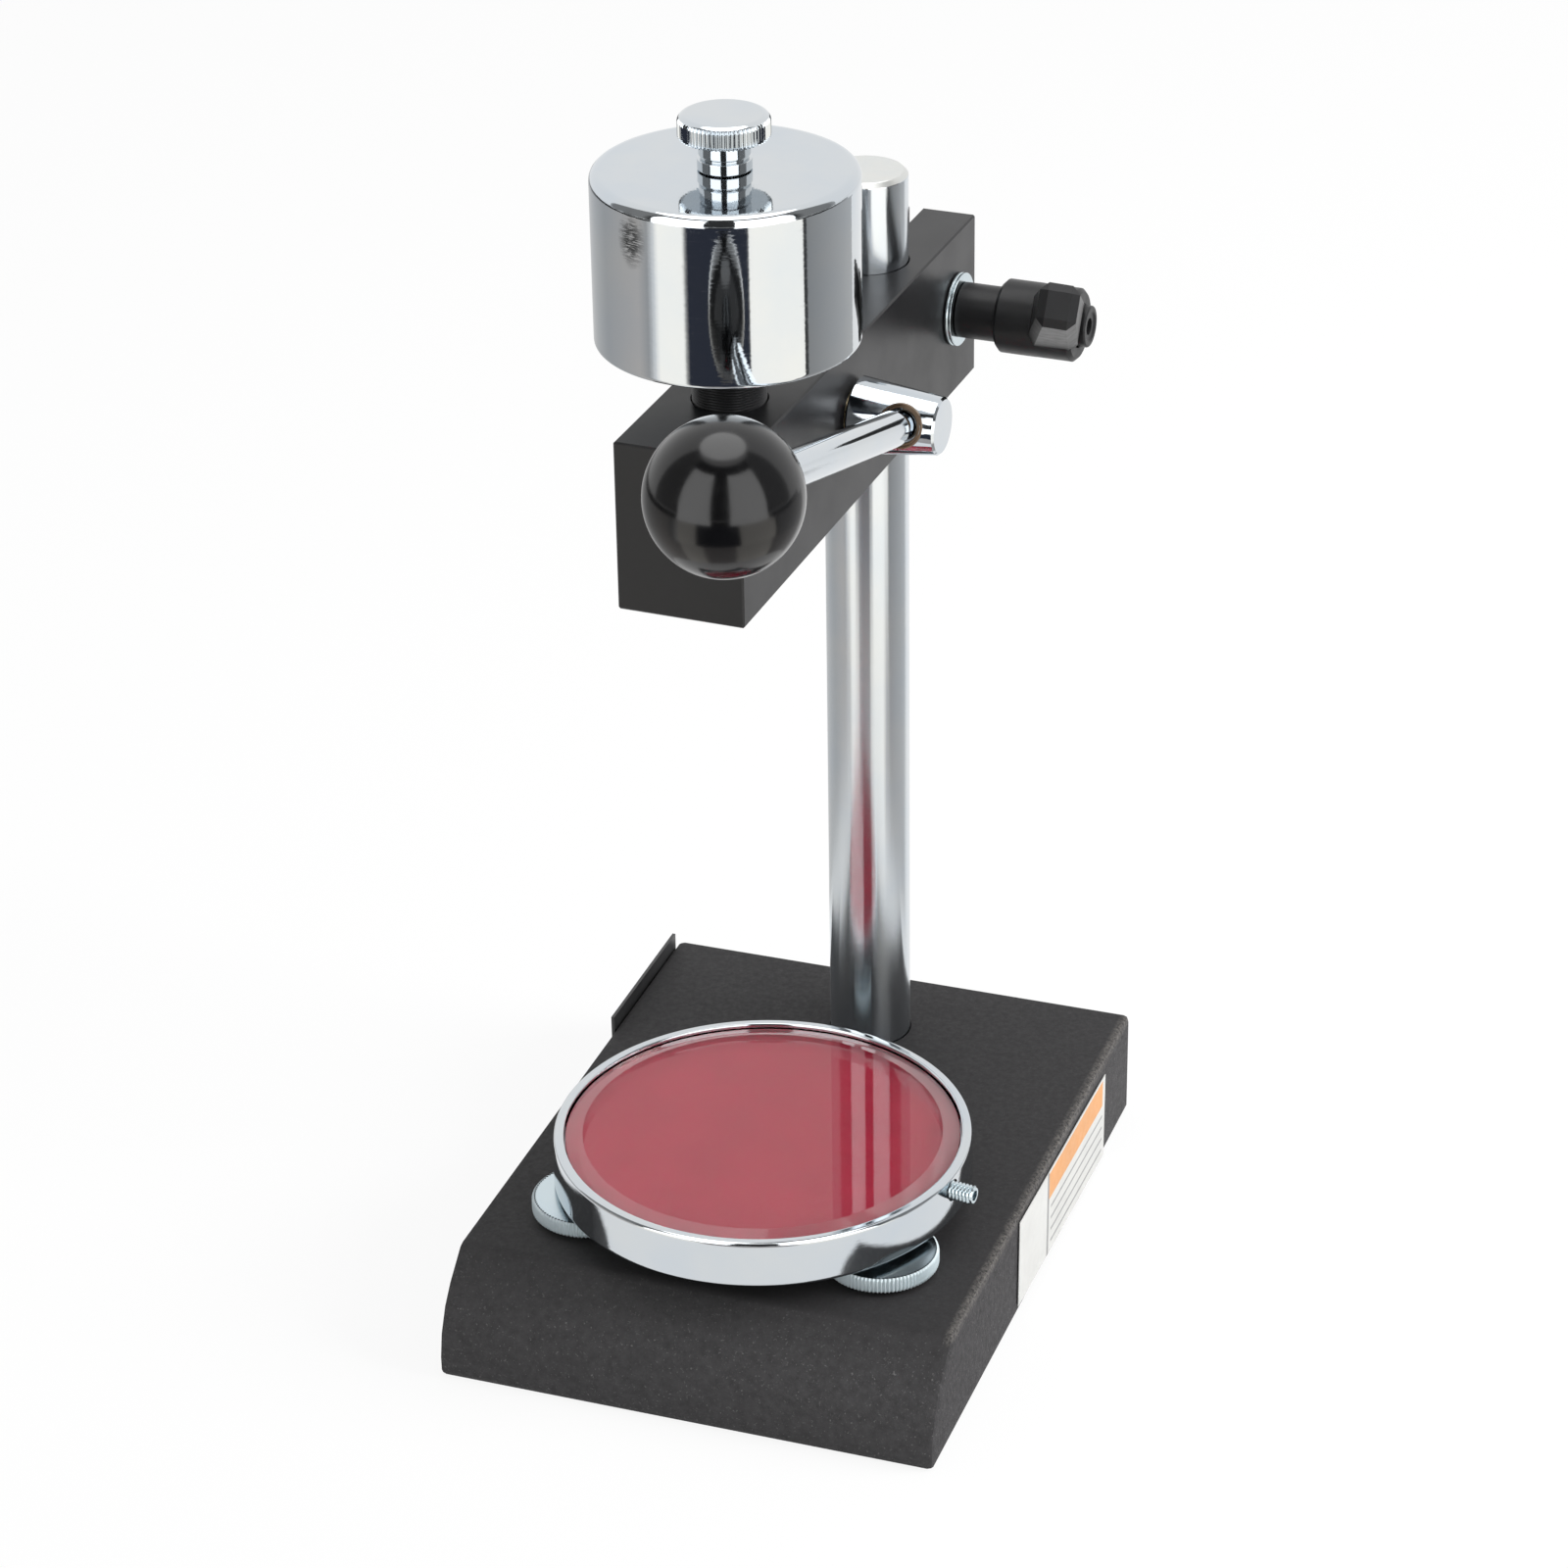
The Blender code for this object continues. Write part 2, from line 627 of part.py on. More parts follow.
def finishes():
    """The stand's materials."""
    return {
        "cast": material("cast_black", (0.040, 0.038, 0.041), 0.62),
        "arm": material("satin_black", (0.045, 0.045, 0.047), 0.42, 0.1),
        "chrome": material("chrome", (0.80, 0.81, 0.82), 0.06, 1.0),
        "zinc": material("zinc", (0.62, 0.70, 0.72), 0.28, 1.0),
        "steel": material("steel", (0.55, 0.56, 0.58), 0.32, 1.0),
        "brass": material("brass", (0.70, 0.52, 0.24), 0.30, 1.0),
        "black_steel": material("black_steel", (0.018, 0.018, 0.019), 0.35, 0.4),
        "gloss_black": material("gloss_black", (0.008, 0.008, 0.009), 0.08),
        "glass": material("glass", (0.90, 0.96, 0.94), 0.02, alpha=0.35),
        "red": material("red", (0.50, 0.020, 0.045), 0.40),
        "label": material("label", (0.85, 0.85, 0.84), 0.50),
        "plate": material("dark_plate", (0.030, 0.030, 0.031), 0.45),
        "nylon": material("nylon", (0.75, 0.74, 0.70), 0.50),
    }


def base_casting(finish):
    """The heavy base, flat underneath, with a front that curves down."""
    half_length = BASE_LENGTH / 2
    outline = [(half_length, 0), (half_length, BASE_HEIGHT)]
    for setback_share, height_share in zip(FRONT_SETBACK_SHARES, FRONT_HEIGHT_SHARES):
        outline.append((FRONT_RUN * setback_share - half_length, BASE_HEIGHT * height_share))
    mesh = slab_mesh("base_casting", outline, BASE_WIDTH)
    mesh.transform(Matrix(((0, 0, 1, 0), (1, 0, 0, 0), (0, 1, 0, 0), (0, 0, 0, 1))))
    casting = add("base_casting", mesh, finish["cast"])
    bevel(casting, BASE_EDGE_ROUND, 2)
    return casting


def column_foot(casting, finish):
    """The column in its socket, and the bolt and washer that hold it from below."""
    here = {"place": (0, COLUMN_Y, 0)}
    head_radius = BOLT_RADIUS + BOLT_HEAD_WIDTH
    washer_radius = head_radius + COLUMN_WASHER_WIDTH
    hole = BOLT_RADIUS + GAP
    bore(casting, "column_socket", stepped(BASE_HEIGHT + CUT_OVERRUN, [
        (COLUMN_RADIUS + GAP, SOCKET_FLOOR),
        (hole, BOLT_POCKET_ROOF),
        (washer_radius + GAP, -CUT_OVERRUN),
    ]), **here)
    column = turned("column", [
        (0, COLUMN_TOP),
        (COLUMN_RADIUS - COLUMN_CHAMFER, COLUMN_TOP),
        (COLUMN_RADIUS, COLUMN_TOP - COLUMN_CHAMFER),
        (COLUMN_RADIUS, COLUMN_BOTTOM),
        (0, COLUMN_BOTTOM),
    ], finish["chrome"], **here)
    shank_top = COLUMN_BOTTOM + BOLT_GRIP
    drill(column, "column_thread", hole, COLUMN_BOTTOM - CUT_OVERRUN, shank_top + GAP, **here)
    ring("column_washer", hole, washer_radius, COLUMN_WASHER_BOTTOM, COLUMN_WASHER_TOP, finish["zinc"],
         **here)
    bolt = turned("column_bolt", [
        (0, shank_top),
        (BOLT_RADIUS, shank_top),
        (BOLT_RADIUS, BOLT_HEAD_TOP),
        (head_radius, BOLT_HEAD_TOP),
        (head_radius, BOLT_HEAD_CLEAR),
        (0, BOLT_HEAD_CLEAR),
    ], finish["black_steel"], SMALL, **here)
    drill(bolt, "bolt_key", BOLT_KEY_RADIUS, BOLT_HEAD_CLEAR - CUT_OVERRUN, BOLT_HEAD_CLEAR + BOLT_KEY_DEPTH,
          HEXAGON, **here)


def side_plate(casting, finish):
    """The thin blank plate riveted to the left side, standing a little above the top edge."""
    back = BASE_LENGTH / 2 - PLATE_FROM_BACK
    front = back - PLATE_LENGTH
    inner_x = -BASE_WIDTH / 2 - GAP
    outer_x = inner_x - PLATE_THICKNESS
    bottom = BASE_HEIGHT - PLATE_DROP
    mesh = box_mesh("side_plate", (outer_x, front, bottom), (inner_x, back, BASE_HEIGHT + PLATE_RISE))
    plate = add("side_plate", mesh, finish["plate"])
    height = (bottom + BASE_HEIGHT) / 2
    reach = RIVET_LENGTH + PLATE_THICKNESS
    for end, y in (("front", front + RIVET_INSET), ("rear", back - RIVET_INSET)):
        here = {"place": (outer_x, y, height), "turn": (0, -pi / 2, 0)}
        for piece in (casting, plate):
            drill(piece, f"rivet_hole_{end}_{piece.name}", RIVET_RADIUS + GAP, -reach - GAP, CUT_OVERRUN,
                  TINY, **here)
        turned(f"plate_rivet_{end}", [
            (0, GAP + RIVET_HEAD_HEIGHT),
            (RIVET_HEAD_RADIUS * RIVET_CROWN_SHARE, GAP + RIVET_HEAD_HEIGHT),
            (RIVET_HEAD_RADIUS, GAP),
            (RIVET_RADIUS, GAP),
            (RIVET_RADIUS, -reach),
            (0, -reach),
        ], finish["steel"], TINY, **here)


def side_label(finish):
    """The adhesive label on the right side, a little askew."""
    half = Vector((LABEL_THICKNESS / 2, LABEL_LENGTH / 2, LABEL_HEIGHT / 2))
    x = BASE_WIDTH / 2 + GAP + LABEL_THICKNESS / 2
    y = BASE_LENGTH / 2 - LABEL_CENTRE_FROM_BACK
    z = BASE_HEIGHT / 2 - LABEL_DROP
    mesh = box_mesh("side_label", -half, half)
    add("side_label", mesh, finish["label"], place=(x, y, z), turn=(LABEL_TILT, 0, 0))


def table(finish):
    """The ring with its inner ledge, and the plate, red backing and glass that lie in it."""
    here = {"place": (0, TABLE_Y, 0)}
    table_ring = turned("table_ring", [
        (TABLE_RADIUS - RING_CHAMFER, TABLE_TOP),
        (TABLE_RADIUS, TABLE_TOP - RING_CHAMFER),
        (TABLE_RADIUS, RING_BOTTOM + RING_CHAMFER / 2),
        (TABLE_RADIUS - RING_CHAMFER / 2, RING_BOTTOM),
        (LEDGE_RADIUS, RING_BOTTOM),
        (LEDGE_RADIUS, RING_BOTTOM + LEDGE_THICKNESS),
        (SEAT_RADIUS, RING_BOTTOM + LEDGE_THICKNESS),
        (SEAT_RADIUS, TABLE_TOP),
    ], finish["chrome"], FINE, closed=True, **here)
    plate = rod("table_plate", DISC_RADIUS, TABLE_PLATE_BOTTOM, TABLE_PLATE_TOP, finish["steel"], **here)
    rod("red_backing", DISC_RADIUS, BACKING_BOTTOM, BACKING_TOP, finish["red"], FINE, **here)
    turned("glass_disc", [
        (0, GLASS_TOP),
        (DISC_RADIUS - GLASS_BEVEL_WIDTH, GLASS_TOP),
        (DISC_RADIUS, GLASS_TOP - GLASS_BEVEL_DEPTH),
        (DISC_RADIUS, GLASS_BOTTOM),
        (0, GLASS_BOTTOM),
    ], finish["glass"], FINE, **here)
    set_screw(table_ring, finish)
    return plate


def set_screw(table_ring, finish):
    """The screw in the ring's side and the soft pad that it presses on the glass."""
    out = Vector((cos(SET_SCREW_ANGLE), -sin(SET_SCREW_ANGLE), 0))
    height = TABLE_TOP - SET_SCREW_DROP
    here = {"place": (0, TABLE_Y, height), "turn": out.to_track_quat("Z", "Y").to_euler()}
    pad_end = SEAT_RADIUS + SET_PAD_LENGTH
    start = pad_end + GAP
    end = start + SET_SCREW_LENGTH
    drill(table_ring, "set_screw_hole", SET_SCREW_RADIUS + GAP, LEDGE_RADIUS, TABLE_RADIUS + CUT_OVERRUN,
          **here)
    rod("set_screw_pad", SET_PAD_RADIUS, SEAT_RADIUS, pad_end, finish["nylon"], TINY, **here)
    screw = turned("set_screw", [
        (0, end),
        (SET_SCREW_RADIUS - GAP, end),
        (SET_SCREW_RADIUS, end - GAP),
        (SET_SCREW_RADIUS, start),
        (0, start),
    ], finish["zinc"], SMALL, **here)
    drill(screw, "set_screw_key", SET_SCREW_KEY_RADIUS, end - SET_SCREW_KEY_DEPTH, end + CUT_OVERRUN,
          HEXAGON, **here)


def levelling_screws(plate, finish):
    """Three knurled wheels, each with a foot on the base and a stud up into the table's plate."""
    stud_top = TABLE_PLATE_TOP - STUD_SHORT
    foot = BASE_HEIGHT + GAP
    outline = [
        (0, stud_top),
        (STUD_RADIUS - WHEEL_CHAMFER, stud_top),
        (STUD_RADIUS, stud_top - WHEEL_CHAMFER),
        (STUD_RADIUS, WHEEL_TOP),
        (WHEEL_RADIUS - WHEEL_CHAMFER, WHEEL_TOP),
        (WHEEL_RADIUS, WHEEL_TOP - WHEEL_CHAMFER),
        (WHEEL_RADIUS, WHEEL_BOTTOM + WHEEL_CHAMFER),
        (WHEEL_RADIUS - WHEEL_CHAMFER, WHEEL_BOTTOM),
        (FOOT_RADIUS, WHEEL_BOTTOM),
        (FOOT_TIP_RADIUS, foot),
        (0, foot),
    ]
    low = TABLE_PLATE_BOTTOM - CUT_OVERRUN
    high = TABLE_PLATE_TOP + CUT_OVERRUN
    for name, angle in zip(LEVELLER_NAMES, LEVELLER_ANGLES):
        x = LEVELLER_PITCH_RADIUS * sin(angle)
        y = TABLE_Y - LEVELLER_PITCH_RADIUS * cos(angle)
        turned(f"levelling_screw_{name}", outline, finish["zinc"], place=(x, y, 0))
        drill(plate, f"levelling_hole_{name}", STUD_RADIUS + GAP, low, high, place=(x, y, 0))


def hold_down(casting, plate, finish):
    """The screw, washer and spring under the base that pull the table down onto its levelling screws."""
    here = {"place": (0, TABLE_Y, 0)}
    shank_top = TABLE_PLATE_TOP - HOLD_TIP_SHORT
    hole = HOLD_SHANK_RADIUS + GAP
    bore(casting, "hold_down_hole", stepped(BASE_HEIGHT + CUT_OVERRUN, [
        (hole, HOLD_POCKET_ROOF),
        (HOLD_WASHER_RADIUS + HOLD_POCKET_CLEAR, -CUT_OVERRUN),
    ]), **here)
    drill(plate, "hold_down_thread", hole, TABLE_PLATE_BOTTOM - CUT_OVERRUN, TABLE_PLATE_TOP + CUT_OVERRUN,
          **here)
    turned("hold_down_screw", [
        (0, shank_top),
        (HOLD_SHANK_RADIUS, shank_top),
        (HOLD_SHANK_RADIUS, HOLD_HEAD_TOP),
        (HOLD_HEAD_RADIUS, HOLD_HEAD_TOP),
        (HOLD_HEAD_RADIUS, HOLD_HEAD_CLEAR),
        (0, HOLD_HEAD_CLEAR),
    ], finish["zinc"], SMALL, **here)
    ring("hold_down_washer", hole, HOLD_WASHER_RADIUS, HOLD_WASHER_BOTTOM, HOLD_WASHER_TOP, finish["zinc"],
         **here)
    coil("hold_down_spring", HOLD_SPRING_RADIUS, HOLD_SPRING_WIRE, HOLD_SPRING_CURLS,
         HOLD_SPRING_BOTTOM, HOLD_SPRING_TOP, finish["steel"], **here)


def arm_body(arm, finish):
    """The split arm with its column bore, and the cavity for the lever's fork."""
    low = ARM_UNDERSIDE - CUT_OVERRUN
    high = ARM_TOP + CUT_OVERRUN
    mesh = box_mesh("arm_body", (-ARM_HALF, -ARM_FRONT, ARM_UNDERSIDE), (ARM_HALF, ARM_REAR, ARM_TOP))
    body = add("arm_body", mesh, finish["arm"], parent=arm)
    bevel(body, ARM_EDGE)
    bore(body, "arm_bore", stepped(high, [
        (LINER_INNER, ARM_TOP - BORE_LIP),
        (LINER_GROOVE, ARM_UNDERSIDE + BORE_LIP),
        (LINER_INNER, low),
    ]), parent=arm)
    half_slit = ARM_SLIT / 2
    seat_half = COVER_SEAT_HALF
    seat_top = COVER_TOP + GAP
    cuts = {
        "arm_slit": ((-half_slit, 0, low), (half_slit, ARM_REAR + CUT_OVERRUN, high)),
        "arm_cavity": ((-CAVITY_HALF, -CAVITY_FRONT, low), (CAVITY_HALF, -CAVITY_REAR, CAVITY_TOP)),
        "cover_seat": ((-seat_half, -COVER_SEAT_FRONT, low), (seat_half, -COVER_SEAT_REAR, seat_top)),
    }
    for name, corners in cuts.items():
        combine(body, cutter(name, box_mesh(name, *corners), parent=arm), "DIFFERENCE")
    return body


def column_liner(arm, finish):
    """The split sleeve that lies in the groove of the arm's bore and runs on the column."""
    low = ARM_UNDERSIDE + BORE_LIP + GAP
    high = ARM_TOP - BORE_LIP - GAP
    liner = ring("column_liner", LINER_INNER, LINER_OUTER, low, high, finish["nylon"], ROUND, parent=arm)
    half_slot = LINER_SLOT / 2
    slot = box_mesh("liner_slot", (-half_slot, 0, ARM_UNDERSIDE), (half_slot, LINER_GROOVE, ARM_TOP))
    combine(liner, cutter("liner_slot", slot, parent=arm), "DIFFERENCE")


def arm_cover(body, arm, finish):
    """The plate that closes the arm's underside, with four countersunk screws."""
    half = COVER_SEAT_HALF - GAP
    front = COVER_SEAT_FRONT - GAP
    rear = COVER_SEAT_REAR + GAP
    mesh = box_mesh("arm_cover", (-half, -front, COVER_BOTTOM), (half, -rear, COVER_TOP))
    cover = add("arm_cover", mesh, finish["arm"], parent=arm)
    drill(cover, "lower_bush_hole", GUIDE_BORE + BUSH_WALL + GAP, COVER_BOTTOM - CUT_OVERRUN,
          COVER_TOP + CUT_OVERRUN, ROUND, parent=arm, place=(0, -SPINDLE_REACH, 0))
    side = COVER_SEAT_HALF - COVER_SCREW_FROM_SIDE
    head_top = COVER_BOTTOM + COVER_SCREW_HEAD_DEPTH
    tip = COVER_BOTTOM + COVER_SCREW_LENGTH
    hole = COVER_SCREW_RADIUS + GAP
    reaches = {
        "rear": COVER_SEAT_REAR + COVER_SCREW_FROM_REAR,
        "front": COVER_SEAT_FRONT - COVER_SCREW_FROM_FRONT,
    }
    for end, reach in reaches.items():
        for hand, x in (("left", -side), ("right", side)):
            spot = {"parent": arm, "place": (x, -reach, 0)}
            bore(cover, f"cover_sink_{end}_{hand}", [
                (hole, COVER_TOP + CUT_OVERRUN),
                (hole, head_top + GAP),
                (COVER_SCREW_HEAD_RADIUS + GAP, COVER_BOTTOM + GAP),
                (COVER_SCREW_HEAD_RADIUS + GAP, COVER_BOTTOM - CUT_OVERRUN),
            ], TINY, **spot)
            drill(body, f"cover_thread_{end}_{hand}", hole, COVER_TOP - CUT_OVERRUN, tip + GAP, TINY, **spot)
            turned(f"cover_screw_{end}_{hand}", [
                (0, tip),
                (COVER_SCREW_RADIUS, tip),
                (COVER_SCREW_RADIUS, head_top),
                (COVER_SCREW_HEAD_RADIUS, COVER_BOTTOM),
                (0, COVER_BOTTOM),
            ], finish["black_steel"], TINY, **spot)


def spindle_guides(body, arm, finish):
    """The black sleeve on the arm that the weight comes down on, and the brass bush in the cover."""
    here = {"parent": arm, "place": (0, -SPINDLE_REACH, 0)}
    radius = GUIDE_BORE + SLEEVE_WALL
    drill(body, "sleeve_hole", radius + GAP, CAVITY_TOP - CUT_OVERRUN, ARM_TOP + CUT_OVERRUN, ROUND, **here)
    ring("guide_sleeve", GUIDE_BORE, radius, CAVITY_TOP, SLEEVE_TOP, finish["black_steel"], ROUND, **here)
    bush_radius = GUIDE_BORE + BUSH_WALL
    flange_bottom = COVER_TOP + GAP
    flange_top = flange_bottom + BUSH_FLANGE_THICKNESS
    turned("lower_bush", [
        (bush_radius + BUSH_FLANGE_WIDTH, flange_top),
        (bush_radius + BUSH_FLANGE_WIDTH, flange_bottom),
        (bush_radius, flange_bottom),
        (bush_radius, COVER_BOTTOM),
        (GUIDE_BORE, COVER_BOTTOM),
        (GUIDE_BORE, flange_top),
    ], finish["brass"], closed=True, **here)


def spindle(arm, finish):
    """The spindle, with a socket for the gauge's stem, and the cross pin through it."""
    here = {"parent": arm, "place": (0, -SPINDLE_REACH, 0)}
    top = KNOB_BORE_TOP - GAP
    shoulder = WEIGHT_BOTTOM - GAP
    bar = turned("spindle", [
        (0, top),
        (SPINDLE_NECK_RADIUS - SPINDLE_CHAMFER, top),
        (SPINDLE_NECK_RADIUS, top - SPINDLE_CHAMFER),
        (SPINDLE_NECK_RADIUS, shoulder),
        (SPINDLE_RADIUS, shoulder),
        (SPINDLE_RADIUS, SPINDLE_BOTTOM + SPINDLE_CHAMFER),
        (SPINDLE_RADIUS - SPINDLE_CHAMFER, SPINDLE_BOTTOM),
        (0, SPINDLE_BOTTOM),
    ], finish["chrome"], **here)
    drill(bar, "gauge_socket", SPINDLE_RADIUS - SOCKET_WALL, SPINDLE_BOTTOM - CUT_OVERRUN,
          SPINDLE_BOTTOM + SOCKET_DEPTH, **here)
    across = {"parent": arm, "place": (0, -SPINDLE_REACH, PIN_HEIGHT), "turn": (0, pi / 2, 0)}
    past = SPINDLE_RADIUS + CUT_OVERRUN
    drill(bar, "cross_pin_hole", CROSS_PIN_RADIUS + GAP, -past, past, **across)
    half = FORK_HALF + GAP
    rod("cross_pin", CROSS_PIN_RADIUS, -half, half, finish["steel"], SMALL, **across)


def drop_weight(arm, finish):
    """The weight on the spindle's neck."""
    corner = WEIGHT_DIAMETER / 2 - WEIGHT_ROUND
    hole = SPINDLE_NECK_RADIUS + GAP
    turned("drop_weight", [
        *arc((corner, WEIGHT_TOP - WEIGHT_ROUND), WEIGHT_ROUND, pi / 2, 0),
        *arc((corner, WEIGHT_BOTTOM + WEIGHT_ROUND), WEIGHT_ROUND, 0, -pi / 2),
        (hole, WEIGHT_BOTTOM),
        (hole, WEIGHT_TOP),
    ], finish["chrome"], FINE, closed=True, parent=arm, place=(0, -SPINDLE_REACH, 0))


def thumb_knob(arm, finish):
    """The knob that screws down on the weight: a beaded neck under a knurled rim."""
    bead = KNOB_NECK_HEIGHT / KNOB_BEADS
    neck = [(KNOB_WAIST_RADIUS, KNOB_RIM_BOTTOM)]
    for index in reversed(range(KNOB_BEADS)):
        low = KNOB_BOTTOM + bead * index
        neck += [(KNOB_NECK_RADIUS, low + bead * share) for share in KNOB_BEAD_SHARES]
        neck.append((KNOB_WAIST_RADIUS, low))
    hole = SPINDLE_NECK_RADIUS + GAP
    turned("thumb_knob", [
        (0, KNOB_TOP),
        (KNOB_RIM_RADIUS - KNOB_CHAMFER, KNOB_TOP),
        (KNOB_RIM_RADIUS, KNOB_TOP - KNOB_CHAMFER),
        (KNOB_RIM_RADIUS, KNOB_RIM_BOTTOM + KNOB_CHAMFER),
        (KNOB_RIM_RADIUS - KNOB_CHAMFER, KNOB_RIM_BOTTOM),
        *neck,
        (hole, KNOB_BOTTOM),
        (hole, KNOB_BORE_TOP),
        (0, KNOB_BORE_TOP),
    ], finish["chrome"], parent=arm, place=(0, -SPINDLE_REACH, 0))


def lever_shaft(body, lever, finish):
    """The shaft across the arm, its two bushes and the clip on its left end."""
    along = {"parent": lever, "turn": (0, pi / 2, 0)}
    bush_radius = SHAFT_BORE + SHAFT_BUSH_WALL
    past = ARM_HALF + CUT_OVERRUN
    drill(body, "shaft_hole", bush_radius + GAP, -past, past, ROUND, **along)
    shaft = rod("lever_shaft", SHAFT_RADIUS, -ARM_HALF - SHAFT_LEFT_STUB, ARM_HALF + SHAFT_IN_HUB,
                finish["steel"], SMALL, **along)
    inner = CAVITY_HALF + GAP
    outer = ARM_HALF - GAP
    for hand, low, high in (("left", -outer, -inner), ("right", inner, outer)):
        ring(f"shaft_bush_{hand}", SHAFT_BORE, bush_radius, low, high, finish["brass"], **along)
    clip_end = -ARM_HALF - GAP
    clip_start = clip_end - CLIP_THICKNESS
    clip_radius = SHAFT_BORE + CLIP_WIDTH
    clip = ring("shaft_clip", SHAFT_BORE, clip_radius, clip_start, clip_end, finish["black_steel"], **along)
    half_mouth = CLIP_MOUTH / 2
    low = (clip_start - CUT_OVERRUN, -half_mouth, -clip_radius - CUT_OVERRUN)
    mouth = box_mesh("clip_mouth", low, (clip_end + CUT_OVERRUN, half_mouth, 0))
    combine(clip, cutter("clip_mouth", mouth, parent=lever), "DIFFERENCE")
    return shaft


def lifting_fork(shaft, lever, finish):
    """Two slotted prongs on a tube, pinned to the shaft, that carry the spindle's cross pin."""
    along = {"parent": lever, "turn": (0, pi / 2, 0)}
    tip = FORK_REACH + FORK_TIP_BEYOND
    slot = CROSS_PIN_RADIUS + FORK_PLAY
    slot_start = FORK_REACH - FORK_SLOT_INNER
    outline = [
        (0, -FORK_ROOT_HALF_HEIGHT),
        (slot_start, -FORK_TIP_HALF_HEIGHT),
        (tip, -FORK_TIP_HALF_HEIGHT),
        (tip, -slot),
        (slot_start, -slot),
        (slot_start, slot),
        (tip, slot),
        (tip, FORK_TIP_HALF_HEIGHT),
        (slot_start, FORK_TIP_HALF_HEIGHT),
        (0, FORK_ROOT_HALF_HEIGHT),
    ]
    fork = rod("lifting_fork", FORK_HUB_RADIUS, -FORK_HALF, FORK_HALF, finish["steel"], SMALL, **along)
    outer = FORK_HALF - GAP
    upright = Matrix(((0, 0, -1, 0), (-1, 0, 0, 0), (0, 1, 0, 0), (0, 0, 0, 1)))
    droop = Matrix.Rotation(-FORK_REST_ANGLE, 4, "X")
    for hand, sign in (("left", -1), ("right", 1)):
        prong = slab_mesh(f"prong_{hand}", outline, outer - FORK_INNER)
        middle = Matrix.Translation((sign * (outer + FORK_INNER) / 2, 0, 0))
        prong.transform(droop @ middle @ upright)
        combine(fork, cutter(f"prong_{hand}", prong, parent=lever), "UNION")
    past = FORK_HALF + CUT_OVERRUN
    drill(fork, "fork_bore", SHAFT_BORE, -past, past, **along)
    past = FORK_HUB_RADIUS + CUT_OVERRUN
    for piece in (fork, shaft):
        drill(piece, f"fork_pin_hole_{piece.name}", FORK_PIN_RADIUS + GAP, -past, past, TINY, parent=lever)
    half = FORK_HUB_RADIUS - GAP
    rod("fork_pin", FORK_PIN_RADIUS, -half, half, finish["steel"], TINY, parent=lever)


def lever_hub(outward, lever, finish):
    """The tapered hub on the shaft's right end, with a mouth for the rod."""
    along = {"parent": lever, "turn": (0, pi / 2, 0)}
    hub = turned("lever_hub", [
        (0, HUB_END),
        (HUB_END_RADIUS - HUB_CHAMFER, HUB_END),
        (HUB_END_RADIUS, HUB_END - HUB_CHAMFER),
        (HUB_ROOT_RADIUS, HUB_ROOT + HUB_CHAMFER),
        (HUB_ROOT_RADIUS - HUB_CHAMFER, HUB_ROOT),
        (0, HUB_ROOT),
    ], finish["chrome"], **along)
    drill(hub, "hub_bore", SHAFT_BORE, HUB_ROOT - CUT_OVERRUN, ARM_HALF + SHAFT_IN_HUB + GAP, **along)
    taper = (HUB_ROOT_RADIUS - HUB_END_RADIUS) / (HUB_END - HUB_ROOT)
    surface = HUB_END_RADIUS + taper * HUB_PAST_ROD
    hole = ROD_NECK_RADIUS + GAP
    bore(hub, "rod_mouth", [
        (ROD_MOUTH_RADIUS, surface + CUT_OVERRUN),
        (ROD_MOUTH_RADIUS, surface - GAP),
        (hole, surface - ROD_MOUTH_DEPTH),
        (hole, ROD_NECK_START - GAP),
    ], SMALL, **outward)


def lever_rod(outward, finish):
    """The rod screwed into the hub, and the ball on its end."""
    radius = BALL_DIAMETER / 2
    end = LEVER_LENGTH - radius + ROD_IN_BALL
    turned("lever_rod", [
        (0, end),
        (ROD_RADIUS, end),
        *arc((ROD_RADIUS - ROD_SHOULDER_ROUND, ROD_SHOULDER), ROD_SHOULDER_ROUND, 0, -pi / 2),
        (ROD_NECK_RADIUS, ROD_NECK_START),
        (0, ROD_NECK_START),
    ], finish["chrome"], **outward)
    sphere = bpy.data.meshes.new("ball_knob")
    shape = bmesh.new()
    bmesh.ops.create_uvsphere(shape, u_segments=BALL_SEGMENTS, v_segments=BALL_RINGS, radius=radius)
    bmesh.ops.translate(shape, verts=shape.verts, vec=(0, 0, LEVER_LENGTH))
    shape.to_mesh(sphere)
    shape.free()
    sphere.shade_smooth()
    ball = add("ball_knob", sphere, finish["gloss_black"], **outward)
    drill(ball, "ball_hole", ROD_RADIUS + GAP, LEVER_LENGTH - BALL_DIAMETER, end + GAP, **outward)


